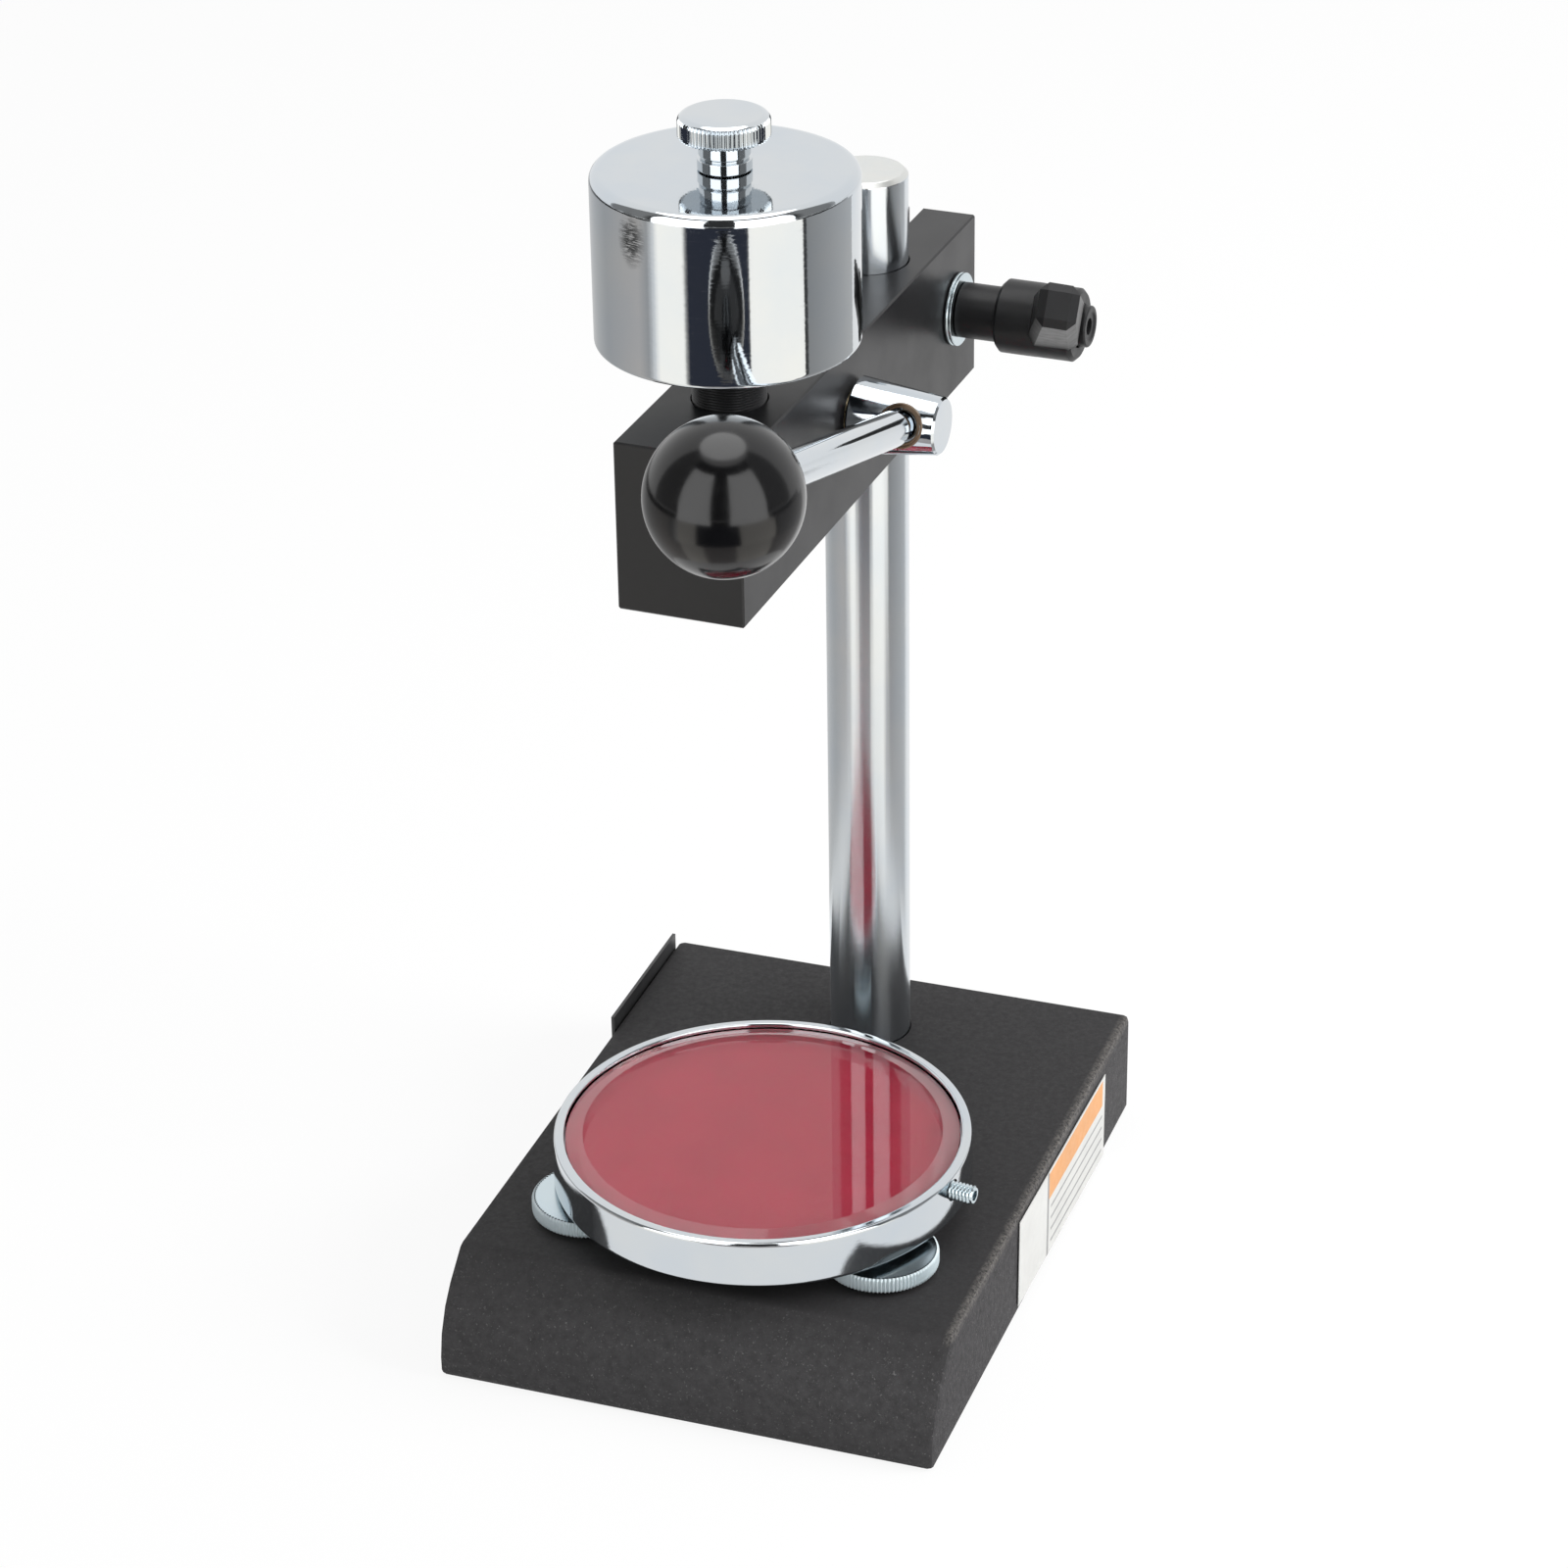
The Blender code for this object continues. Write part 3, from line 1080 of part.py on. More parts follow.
def clamp_stud(body, along, finish):
    """The washer, the splined stud and the screw that keeps the handle and its spring on it."""
    stud_end = CLAMP_STUD_INSET - ARM_HALF * 2
    washer_radius = CLAMP_BORE + CLAMP_WASHER_WIDTH
    drill(body, "stud_hole", CLAMP_BORE, -ARM_HALF * 2 - CUT_OVERRUN, CUT_OVERRUN, **along)
    ring("clamp_washer", CLAMP_BORE, washer_radius, GAP, CLAMP_WASHER_END, finish["zinc"], ROUND, **along)
    stud = turned("clamp_stud", [
        (0, SPLINE_END),
        (SPLINE_RADIUS, SPLINE_END),
        (SPLINE_RADIUS, SPLINE_START),
        (PILOT_RADIUS, SPLINE_START),
        (PILOT_RADIUS, INSERT_END),
        (INSERT_RADIUS, INSERT_END),
        (INSERT_RADIUS, INSERT_START),
        (CLAMP_STUD_RADIUS, INSERT_START),
        (CLAMP_STUD_RADIUS, stud_end),
        (0, stud_end),
    ], finish["black_steel"], **along)
    tip = SPLINE_END - CLAMP_SCREW_DEPTH
    drill(stud, "clamp_screw_thread", CLAMP_SCREW_RADIUS + GAP, tip - GAP, SPLINE_END + CUT_OVERRUN, **along)
    screw = turned("clamp_centre_screw", [
        (0, CLAMP_HEAD_END),
        (CLAMP_SCREW_HEAD_RADIUS - GAP, CLAMP_HEAD_END),
        (CLAMP_SCREW_HEAD_RADIUS, CLAMP_HEAD_END - GAP),
        (CLAMP_SCREW_HEAD_RADIUS, CLAMP_HEAD_START),
        (CLAMP_SCREW_RADIUS, CLAMP_HEAD_START),
        (CLAMP_SCREW_RADIUS, tip),
        (0, tip),
    ], finish["black_steel"], SMALL, **along)
    drill(screw, "clamp_screw_key", CLAMP_SCREW_KEY_RADIUS, CLAMP_HEAD_END - CLAMP_SCREW_KEY_DEPTH,
          CLAMP_HEAD_END + CUT_OVERRUN, HEXAGON, **along)
    coil("clamp_spring", CLAMP_SPRING_RADIUS, CLAMP_SPRING_WIRE, CLAMP_SPRING_CURLS,
         CLAMP_SPRING_START, CLAMP_SPRING_END, finish["steel"], **along)


def clamp_handle(clamp, along, finish):
    """The handle's hollow hub, with a tapered grip that leans away from the arm."""
    skirt_end = HANDLE_START + HANDLE_SKIRT_LENGTH
    head_radius = HANDLE_RADIUS - HANDLE_HEAD_STEP
    handle = turned("clamp_handle", [
        (0, HANDLE_END),
        (head_radius - HANDLE_CHAMFER, HANDLE_END),
        (head_radius, HANDLE_END - HANDLE_CHAMFER),
        (head_radius, skirt_end + HANDLE_CHAMFER),
        (HANDLE_RADIUS, skirt_end),
        (HANDLE_RADIUS, HANDLE_START + HANDLE_CHAMFER),
        (HANDLE_RADIUS - HANDLE_CHAMFER, HANDLE_START),
        (0, HANDLE_START),
    ], finish["black_steel"], **along)
    combine(handle, cutter("grip", grip_mesh(), parent=clamp), "UNION")
    bore(handle, "handle_bore", stepped(HANDLE_END + GRIP_ROOT_WIDTH, [
        (HANDLE_RADIUS - HANDLE_POCKET_WALL, WEB_END),
        (CLAMP_SCREW_RADIUS + HANDLE_HOLE_CLEAR, WEB_START),
        (SPLINE_RADIUS + GAP, HANDLE_START - CUT_OVERRUN),
    ]), **along)


def grip_mesh():
    """A tapered bar with cut corners, from the hub's head out to its tip."""
    root = Vector((GRIP_ROOT_WIDTH / 2, GRIP_ROOT_HEIGHT / 2, 0))
    mesh = box_mesh("grip", -root, (*root.xy, GRIP_LENGTH))
    shape = bmesh.new()
    shape.from_mesh(mesh)
    for vertex in shape.verts:
        if vertex.co.z > 0:
            vertex.co.x *= GRIP_TIP_WIDTH / GRIP_ROOT_WIDTH
            vertex.co.y *= GRIP_TIP_HEIGHT / GRIP_ROOT_HEIGHT
    bmesh.ops.bevel(shape, geom=shape.edges[:], offset=GRIP_CHAMFER, segments=1, affect="EDGES")
    shape.to_mesh(mesh)
    shape.free()
    start = Matrix.Translation((HANDLE_END - GRIP_FROM_END, 0, 0))
    rise = Matrix.Rotation(pi / 2 - GRIP_RISE, 4, "X")
    lean = Matrix.Rotation(GRIP_LEAN, 4, "Y")
    mesh.transform(start @ rise @ lean)
    return mesh


def main():
    """Build the whole stand."""
    clear_scene()
    finish = finishes()
    casting = base_casting(finish)
    column_foot(casting, finish)
    side_plate(casting, finish)
    side_label(finish)
    plate = table(finish)
    levelling_screws(plate, finish)
    hold_down(casting, plate, finish)

    arm = axis_empty("arm_axis", (0, COLUMN_Y, 0), turn=(0, 0, ARM_SWING))
    body = arm_body(arm, finish)
    column_liner(arm, finish)
    arm_cover(body, arm, finish)
    spindle_guides(body, arm, finish)
    spindle(arm, finish)
    drop_weight(arm, finish)
    thumb_knob(arm, finish)

    lever = axis_empty("lever_axis", (0, -LEVER_REACH, LEVER_HEIGHT), parent=arm)
    outward = {"parent": lever, "place": (ROD_PLANE, 0, 0), "turn": (pi / 2 - LEVER_ANGLE, 0, 0)}
    shaft = lever_shaft(body, lever, finish)
    lifting_fork(shaft, lever, finish)
    lever_hub(outward, lever, finish)
    lever_rod(outward, finish)

    clamp = axis_empty("clamp_axis", (ARM_HALF, CLAMP_REACH, CLAMP_HEIGHT), parent=arm)
    along = {"parent": clamp, "turn": (0, pi / 2, 0)}
    clamp_stud(body, along, finish)
    clamp_handle(clamp, along, finish)
    shade_corners()


main()
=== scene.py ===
"""Looks of the bench stand for a hand durometer: finer pieces, finishes, floor, light and camera.

Metres, +Z up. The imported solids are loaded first, and every piece takes its place and size from them.
"""

import json
from math import cos, pi, radians, sin, tau

import bmesh
import bpy
from bpy.props import FloatProperty, FloatVectorProperty, IntProperty, PointerProperty
from mathutils import Matrix, Vector

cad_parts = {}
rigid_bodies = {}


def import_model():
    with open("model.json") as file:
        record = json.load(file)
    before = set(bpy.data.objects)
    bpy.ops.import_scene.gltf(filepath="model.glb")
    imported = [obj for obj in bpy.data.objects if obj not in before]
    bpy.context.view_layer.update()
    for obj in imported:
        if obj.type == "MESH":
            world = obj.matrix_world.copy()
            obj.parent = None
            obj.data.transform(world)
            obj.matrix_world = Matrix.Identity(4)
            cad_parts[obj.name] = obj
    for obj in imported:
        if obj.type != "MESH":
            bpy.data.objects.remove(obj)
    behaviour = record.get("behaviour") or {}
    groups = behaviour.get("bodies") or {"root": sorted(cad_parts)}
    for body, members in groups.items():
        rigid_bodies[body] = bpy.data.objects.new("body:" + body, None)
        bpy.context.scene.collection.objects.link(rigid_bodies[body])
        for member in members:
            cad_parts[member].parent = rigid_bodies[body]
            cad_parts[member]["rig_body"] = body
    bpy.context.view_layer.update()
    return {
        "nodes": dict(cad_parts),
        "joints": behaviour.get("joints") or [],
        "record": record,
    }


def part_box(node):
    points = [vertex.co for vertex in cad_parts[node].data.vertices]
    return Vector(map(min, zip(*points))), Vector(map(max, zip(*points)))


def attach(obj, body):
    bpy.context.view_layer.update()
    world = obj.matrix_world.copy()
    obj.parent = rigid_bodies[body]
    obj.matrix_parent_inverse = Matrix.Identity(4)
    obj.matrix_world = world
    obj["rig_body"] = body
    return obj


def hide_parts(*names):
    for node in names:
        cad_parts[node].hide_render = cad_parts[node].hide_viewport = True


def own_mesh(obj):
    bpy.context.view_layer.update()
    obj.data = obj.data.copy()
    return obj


bl_info = {
    "name": "Durometer Stand",
    "version": (1, 0, 0),
    "blender": (4, 5, 0),
    "location": "View3D > Sidebar > Stand",
    "description": "Dresses the solids of a durometer stand with finer pieces and finishes",
    "category": "Object",
}

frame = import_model()
NODES = frame["nodes"]
JOINTS = {joint["name"]: joint for joint in frame["joints"]}
SLOTS = {subpart["node"]: subpart["material_slot"] for subpart in frame["record"]["subparts"]}

UP = Vector((0, 0, 1))
ARM_RIGHT = -Vector(JOINTS["lever_turn"]["axis"]).normalized()
ARM_FORWARD = ARM_RIGHT.cross(UP)

SEGMENTS = 96
ROUND_STEPS = 5
ROUND_SHARE = 0.42
FLAT_SHARE = 0.12
SHARP_ANGLE = radians(32.0)
GAP = 0.0003
SAME_POINT = GAP / 100
SOLID_WELD = GAP / 30


# Reading the solids


def axis_frame(origin, along, across):
    """A local frame with its Z along an axis and its X across it."""
    z = along.normalized()
    x = (across - z * across.dot(z)).normalized()
    y = z.cross(x)
    return Matrix.Translation(origin) @ Matrix((x, y, z)).transposed().to_4x4()


def span(node, local=Matrix.Identity(4)):
    """Lowest and highest corner of a solid, in a local frame."""
    inverse = local.inverted()
    points = [inverse @ v.co for v in NODES[node].data.vertices]
    low = Vector([min(p[i] for p in points) for i in range(3)])
    high = Vector([max(p[i] for p in points) for i in range(3)])
    return low, high


def upright(node):
    """A frame on a standing round solid's axis, and the solid's radius, bottom and top in it."""
    low, high = span(node)
    centre = (low + high) / 2
    local = Matrix.Translation((centre.x, centre.y, 0))
    return local, (high.x - low.x) / 2, low.z, high.z


def sideways(joint, forward=ARM_FORWARD):
    """A frame on a joint that lies across the arm, with its zero height in the arm's middle plane."""
    spot = Vector(JOINTS[joint]["pos_m"])
    pivot = Vector(JOINTS["arm_swing"]["pos_m"])
    return axis_frame(spot - ARM_RIGHT * (spot - pivot).dot(ARM_RIGHT), ARM_RIGHT, forward)


def spindle_axis():
    """A frame on the spindle's axis, with its zero height on the bench."""
    return axis_frame(Vector(JOINTS["spindle_lift"]["pos_m"]) * Vector((1, 1, 0)), UP, ARM_FORWARD)


def set_screw_axis():
    """A frame on the set screw's axis, which points out of the table's ring."""
    screw = JOINTS["set_screw_turn"]
    return axis_frame(Vector(screw["pos_m"]), Vector(screw["axis"]), UP)


# Mesh making


def softened(profile):
    """Rounds an outline's corners: each point is (radius, height) or (radius, height, rounding).

    A point just outside each rounding keeps the flat beside it flat in the shading.
    """
    points = []
    for i, point in enumerate(profile):
        here = Vector(point[:2])
        rounding = point[2] if len(point) > 2 else 0
        before, after = Vector(profile[i - 1][:2]), Vector(profile[(i + 1) % len(profile)][:2])
        if not rounding:
            points.append(here)
            continue
        back, ahead = before - here, after - here
        reach = min(rounding, back.length * ROUND_SHARE, ahead.length * ROUND_SHARE)
        start, end = here + back.normalized() * reach, here + ahead.normalized() * reach
        points.append(here + back.normalized() * reach * (1 + FLAT_SHARE))
        for step in range(ROUND_STEPS + 1):
            t = step / ROUND_STEPS
            points.append(start * (1 - t) ** 2 + here * 2 * t * (1 - t) + end * t**2)
        points.append(here + ahead.normalized() * reach * (1 + FLAT_SHARE))
    return points


def skin(bm, rings, closed):
    """Joins rings of vertices into a skin. A ring of one vertex is a point on the axis."""
    loops = rings + rings[:1] if closed else rings
    for lower, upper in zip(loops, loops[1:]):
        count = max(len(lower), len(upper))
        for i in range(count):
            j = (i + 1) % count
            corners = [lower[i % len(lower)], lower[j % len(lower)], upper[j % len(upper)], upper[i % len(upper)]]
            corners = list(dict.fromkeys(corners))
            if len(corners) > 2:
                bm.faces.new(corners)


def finished_object(name, bm, local=Matrix.Identity(4), sharp=SHARP_ANGLE):
    """Turns a bmesh into an object with smooth faces and sharp corners, placed by a local frame."""
    bmesh.ops.remove_doubles(bm, verts=bm.verts, dist=SAME_POINT)
    bmesh.ops.recalc_face_normals(bm, faces=bm.faces)
    mesh = bpy.data.meshes.new(name)
    bm.to_mesh(mesh)
    bm.free()
    mesh.transform(local)
    for polygon in mesh.polygons:
        polygon.use_smooth = True
    mesh.set_sharp_from_angle(angle=sharp)
    piece = bpy.data.objects.new(name, mesh)
    bpy.context.scene.collection.objects.link(piece)
    return piece


def circle(bm, segments, height, reach):
    """A ring of vertices round the Z axis. reach(angle) gives the radius of each."""
    ring = []
    for i in range(segments):
        angle = tau * i / segments
        radius = reach(angle)
        ring.append(bm.verts.new((radius * cos(angle), radius * sin(angle), height)))
    return ring


def turned(name, profile, local, segments=SEGMENTS, closed=False, wave=None, sharp=SHARP_ANGLE):
    """Turns an outline round the local Z axis. wave(radius, height, angle) gives a cut radius."""
    bm = bmesh.new()
    rings = []
    for radius, height in softened(profile):
        if radius < SAME_POINT:
            rings.append([bm.verts.new((0, 0, height))])
        else:
            rings.append(circle(bm, segments, height, lambda angle: wave(radius, height, angle) if wave else radius))
    skin(bm, rings, closed)
    return finished_object(name, bm, local, sharp)


def tooth(angle, teeth):
    """A saw of rounded teeth round the axis, from 0 at a tip to 1 at a root."""
    share = (angle * teeth / tau) % 1
    return 0.5 - 0.5 * cos(tau * share)


def thread_rod(name, radius, depth, pitch, low, high, local, bore=0, segments=SEGMENTS // 2):
    """A rod with a helical thread cut into it, with a plain bore if it has one."""
    bm = bmesh.new()
    rings = []
    steps_per_pitch, run_out = 6, 0.5
    count = max(2, round((high - low) / pitch * steps_per_pitch))
    if not bore:
        rings.append([bm.verts.new((0, 0, low))])
    for step in range(count + 1):
        height = low + (high - low) * step / count
        from_end = min(height - low, high - height) / pitch

        def reach(angle):
            turn = (height / pitch - angle / tau) % 1
            cut = depth * abs(2 * turn - 1)
            return radius - (cut if from_end > run_out else max(cut, depth * (1 - from_end)))

        rings.append(circle(bm, segments, height, reach))
    if bore:
        rings += [circle(bm, segments, height, lambda angle: bore) for height in (high, low)]
    else:
        rings.append([bm.verts.new((0, 0, high))])
    skin(bm, rings, closed=bool(bore))
    return finished_object(name, bm, local)


def coil(name, radius, wire, low, high, curls, local):
    """A compression spring: one wire wound round the local Z axis, its ends drawn flat."""
    bm = bmesh.new()
    rings = []
    per_curl, sides, flat_end = 32, 10, 0.75
    count = curls * per_curl
    rise = high - low - wire
    for step in range(count + 1):
        t = step / count
        eased = min(max((t * curls - flat_end) / (curls - flat_end * 2), 0), 1)
        angle = tau * curls * t
        centre = Vector((radius * cos(angle), radius * sin(angle), low + wire / 2 + rise * eased))
        outward = Vector((cos(angle), sin(angle), 0))
        ring = []
        for side in range(sides):
            turn = tau * side / sides
            ring.append(bm.verts.new(centre + (outward * cos(turn) + UP * sin(turn)) * wire / 2))
        rings.append(ring)
    skin(bm, rings, closed=False)
    bm.faces.new(rings[0])
    bm.faces.new(rings[-1])
    return finished_object(name, bm, local)


def cut_away(piece, cutter):
    """Cuts one object out of another and deletes the cutter."""
    boolean = piece.modifiers.new("cut", "BOOLEAN")
    boolean.object = cutter
    boolean.operation = "DIFFERENCE"
    boolean.solver = "EXACT"
    bpy.context.view_layer.update()
    shape = piece.evaluated_get(bpy.context.evaluated_depsgraph_get())
    mesh = bpy.data.meshes.new_from_object(shape)
    piece.modifiers.clear()
    piece.data = mesh
    mesh.set_sharp_from_angle(angle=SHARP_ANGLE)
    bpy.data.objects.remove(cutter)
    return piece


def corner_shading():
    """A modifier group that shades a solid's facets as round and keeps its real corners sharp."""
    name = "corner shading"
    if name in bpy.data.node_groups:
        return bpy.data.node_groups[name]
    group = bpy.data.node_groups.new(name, "GeometryNodeTree")
    group.interface.new_socket("Geometry", in_out="INPUT", socket_type="NodeSocketGeometry")
    group.interface.new_socket("Geometry", in_out="OUTPUT", socket_type="NodeSocketGeometry")
    nodes, link = group.nodes, group.links.new
    start, end = nodes.new("NodeGroupInput"), nodes.new("NodeGroupOutput")
    weld = nodes.new("GeometryNodeMergeByDistance")
    weld.inputs["Distance"].default_value = SOLID_WELD
    faces, corners = nodes.new("GeometryNodeSetShadeSmooth"), nodes.new("GeometryNodeSetShadeSmooth")
    corners.domain = "EDGE"
    angle, flatter = nodes.new("GeometryNodeInputMeshEdgeAngle"), nodes.new("FunctionNodeCompare")
    flatter.operation = "LESS_THAN"
    flatter.inputs["B"].default_value = SHARP_ANGLE
    link(start.outputs[0], weld.inputs["Geometry"])
    link(weld.outputs["Geometry"], faces.inputs["Geometry"])
    link(faces.outputs["Geometry"], corners.inputs["Geometry"])
    link(angle.outputs["Unsigned Angle"], flatter.inputs["A"])
    link(flatter.outputs["Result"], corners.inputs["Shade Smooth"])
    link(corners.outputs["Geometry"], end.inputs[0])
    return group


# Finishes


class Finish:
    """A material and the means to wire its nodes."""

    def __init__(self, name, colour, roughness, metallic=0.0):
        self.material = bpy.data.materials.new(name)
        self.material.use_nodes = True
        self.material.diffuse_color = (*colour, 1)
        self.tree = self.material.node_tree
        self.shader = self.tree.nodes["Principled BSDF"]
        self.set("Base Color", (*colour, 1))
        self.set("Roughness", roughness)
        self.set("Metallic", metallic)
        self.place = self.node("ShaderNodeTexCoord").outputs["Object"]

    def node(self, kind, inputs=None, **settings):
        """Adds a node. Its inputs are set to values, or linked where a socket is given."""
        made = self.tree.nodes.new(kind)
        for name, value in settings.items():
            setattr(made, name, value)
        for name, value in (inputs or {}).items():
            if isinstance(value, bpy.types.NodeSocket):
                self.tree.links.new(value, made.inputs[name])
            else:
                made.inputs[name].default_value = value
        return made

    def set(self, name, value):
        """Sets or links one socket of the shader."""
        if isinstance(value, bpy.types.NodeSocket):
            self.tree.links.new(value, self.shader.inputs[name])
        else:
            self.shader.inputs[name].default_value = value

    def math(self, operation, first, second):
        """One sum of two numbers or sockets."""
        return self.node("ShaderNodeMath", {0: first, 1: second}, operation=operation).outputs[0]

    def product(self, first, *others):
        """All these numbers or sockets multiplied."""
        for other in others:
            first = self.math("MULTIPLY", first, other)
        return first

    def coordinate(self, vector, axis):
        """One coordinate of a vector socket."""
        return self.node("ShaderNodeSeparateXYZ", {0: vector}).outputs[axis]

    def stretched(self, scales):
        """The place on the piece, stretched along each axis, for streaks that run one way."""
        return self.node("ShaderNodeMapping", {"Vector": self.place, "Scale": scales}).outputs[0]

    def noise(self, scale, detail=3.0, roughness=0.55, place=None):
        """A cloudy pattern between 0 and 1. scale is its grains per metre."""
        inputs = {"Vector": place or self.place, "Scale": scale, "Detail": detail, "Roughness": roughness}
        return self.node("ShaderNodeTexNoise", inputs).outputs["Fac"]

    def ramp(self, factor, *stops):
        """A ramp of (position, value or colour) stops."""
        made = self.node("ShaderNodeValToRGB", {"Fac": factor})
        elements = made.color_ramp.elements
        while len(elements) < len(stops):
            elements.new(0.5)
        for element, (position, value) in zip(elements, stops):
            element.position = position
            element.color = (*value, 1) if isinstance(value, tuple) else (value, value, value, 1)
        return made.outputs["Color"]

    def mixed(self, factor, first, second):
        """A colour between two, as a factor says."""
        made = self.node("ShaderNodeMix", data_type="RGBA")
        for socket, value in ((made.inputs[0], factor), (made.inputs[6], first), (made.inputs[7], second)):
            if isinstance(value, bpy.types.NodeSocket):
                self.tree.links.new(value, socket)
            else:
                socket.default_value = (*value, 1) if isinstance(value, tuple) else value
        return made.outputs[2]

    def surface(self, shader):
        """Shows another shader in place of the material's own."""
        self.tree.links.new(shader, self.tree.nodes["Material Output"].inputs["Surface"])

    def bump(self, height, depth, strength):
        """Lifts the surface by a height pattern of this depth in metres."""
        if depth:
            inputs = {"Height": height, "Distance": depth, "Strength": strength}
            self.set("Normal", self.node("ShaderNodeBump", inputs).outputs["Normal"])


def toned(colour, share):
    """A colour made darker, or lighter where the share is above 1."""
    return tuple(channel * share for channel in colour)


def seen_directly(tree):
    """1 to camera, reflected and refracted rays, and 0 to light that falls on a surface."""
    path = tree.nodes.new("ShaderNodeLightPath")
    seen = path.outputs["Is Camera Ray"]
    for ray in ("Is Glossy Ray", "Is Transmission Ray"):
        either = tree.nodes.new("ShaderNodeMath")
        either.operation = "MAXIMUM"
        tree.links.new(seen, either.inputs[0])
        tree.links.new(path.outputs[ray], either.inputs[1])
        seen = either.outputs[0]
    return seen


def cast_finish(colour):
    """Near-black casting: granular sides with light specks, a smoother top with painted shade that makes it darker
    than the sides, a worn right edge.
    """
    speck_colour, worn_colour, rim, grain_depth = (0.13, 0.127, 0.127), (0.15, 0.14, 0.13), 0.0024, 0.00035
    f = Finish("cast_black", colour, 0.7)
    f.set("Specular IOR Level", 0.3)
    upward = f.coordinate(f.node("ShaderNodeNewGeometry").outputs["Normal"], "Z")
    side = f.ramp(f.math("ABSOLUTE", upward, 0.0), (0.55, 1.0), (0.97, 0.12))
    grain, coarse = f.noise(1500.0, 2.0, 0.7), f.noise(700.0, 4.0, 0.7)
    mottle = f.ramp(f.noise(420.0, 6.0, 0.7), (0.3, toned(colour, 0.75)), (0.7, toned(colour, 1.55)))
    # painted shade: faces that look up get 0.54 of the colour, darker than the mottled sides
    cloud = f.mixed(side, toned(colour, 0.54), mottle)
    speck = f.product(f.ramp(grain, (0.62, 0.0), (0.74, 1.0)), side)
    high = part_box("base_casting")[1]
    near_edge = (
        f.node("ShaderNodeMapRange", {0: f.coordinate(f.place, axis), 1: edge - rim, 2: edge - rim / 3}).outputs[0]
        for axis, edge in (("X", high.x), ("Z", high.z))
    )
    wear = f.product(*near_edge, f.ramp(f.noise(1300.0, 5.0, 0.75), (0.40, 0.0), (0.66, 1.0)))
    f.set("Base Color", f.mixed(wear, f.mixed(speck, cloud, speck_colour), worn_colour))
    f.set("Roughness", f.ramp(coarse, (0.3, 0.62), (0.7, 0.82)))
    f.bump(f.product(f.math("ADD", f.product(grain, 0.5), coarse), side), grain_depth, 0.8)
    return f.material


def satin_finish(colour):
    """Satin black over milled metal: a fine tooth, faint cloudiness and a few light rubs."""
    rub_lay, tooth_depth = (1.0, 0.25, 1.0), 0.00003
    f = Finish("satin_black", colour, 0.4)
    f.set("Specular IOR Level", 0.27)
    rub = f.ramp(f.noise(38.0, 6.0, 0.75, f.stretched(rub_lay)), (0.70, 0.0), (0.80, 0.35))
    cloud = f.ramp(f.noise(45.0, 3.0), (0.3, toned(colour, 0.9)), (0.7, toned(colour, 1.12)))
    f.set("Base Color", f.mixed(rub, cloud, toned(colour, 2.2)))
    f.set("Roughness", f.ramp(f.noise(90.0, 4.0), (0.3, 0.28), (0.7, 0.35)))
    f.bump(f.noise(4200.0, 2.0), tooth_depth, 0.5)
    return f.material


def scratches(f, spot):
    """Short scratches in a patch round a spot: 0 on clean metal and nearly 1 in a scratch."""
    patch_shape, scratch_lay = (240.0, 240.0, 140.0), (420.0, 420.0, 3600.0)
    offset = f.node("ShaderNodeVectorMath", {0: f.place, 1: spot}, operation="SUBTRACT").outputs["Vector"]
    shaped = f.node("ShaderNodeVectorMath", {0: offset, 1: patch_shape}, operation="MULTIPLY").outputs["Vector"]
    distance = f.node("ShaderNodeVectorMath", {0: shaped}, operation="LENGTH").outputs["Value"]
    patch = f.ramp(distance, (0.35, 1.0), (0.98, 0.0))
    cuts = f.ramp(f.noise(1.0, 4.0, 0.65, f.stretched(scratch_lay)), (0.42, 0.0), (0.49, 0.95))
    return f.product(cuts, patch, f.ramp(f.noise(450.0, 2.0), (0.30, 0.3), (0.48, 1.0)))


def chrome_finish(name, colour, roughness, lay, depth=0.0, spread=(0.6, 1.5), brushed=0.0, marks=0.0, scuff=None):
    """Polished metal. lay stretches its fine polishing lines, and spread is how far its roughness varies.

    brushed blurs across turned lines, marks adds fine rubs, and scuff is the middle of a patch of short scratches.
    """
    stained, mark_lay = (colour[0] * 0.93, colour[1] * 0.96, colour[2]), (90.0, 90.0, 1500.0)
    f = Finish(name, colour, roughness, 1.0)
    lines = f.noise(1.0, 2.0, 0.6, f.stretched(lay))
    stain = f.ramp(f.noise(55.0, 3.0), (0.35, colour), (0.72, stained))
    rough = f.ramp(lines, (0.3, roughness * spread[0]), (0.75, roughness * spread[1]))
    if marks:
        rubs = f.ramp(f.noise(1.0, 5.0, 0.7, f.stretched(mark_lay)), (0.60, 0.0), (0.72, marks))
        rough = f.math("ADD", rough, rubs)
    if scuff:
        scratch = scratches(f, scuff)
        stain = f.mixed(scratch, stain, toned(colour, 0.12))
        rough = f.math("ADD", rough, f.product(scratch, 0.25))
    if brushed:
        f.set("Anisotropic", brushed)
        f.set("Anisotropic Rotation", 0.25)
        f.set("Tangent", f.node("ShaderNodeTangent", direction_type="RADIAL", axis="Z").outputs[0])
    f.set("Base Color", stain)
    f.set("Roughness", rough)
    f.bump(lines, depth, 0.6)
    return f.material


def metal_finish(name, colour, roughness):
    """Plain machined metal with a fine grain and uneven gloss."""
    grain, grain_depth = 900.0, 0.000003
    f = Finish(name, colour, roughness, 1.0)
    f.set("Base Color", f.ramp(f.noise(160.0, 4.0, 0.6), (0.3, toned(colour, 0.9)), (0.7, toned(colour, 1.06))))
    f.set("Roughness", f.ramp(f.noise(grain, 3.0), (0.3, roughness * 0.8), (0.7, roughness * 1.25)))
    f.bump(f.noise(grain * 3, 2.0), grain_depth, 0.5)
    return f.material


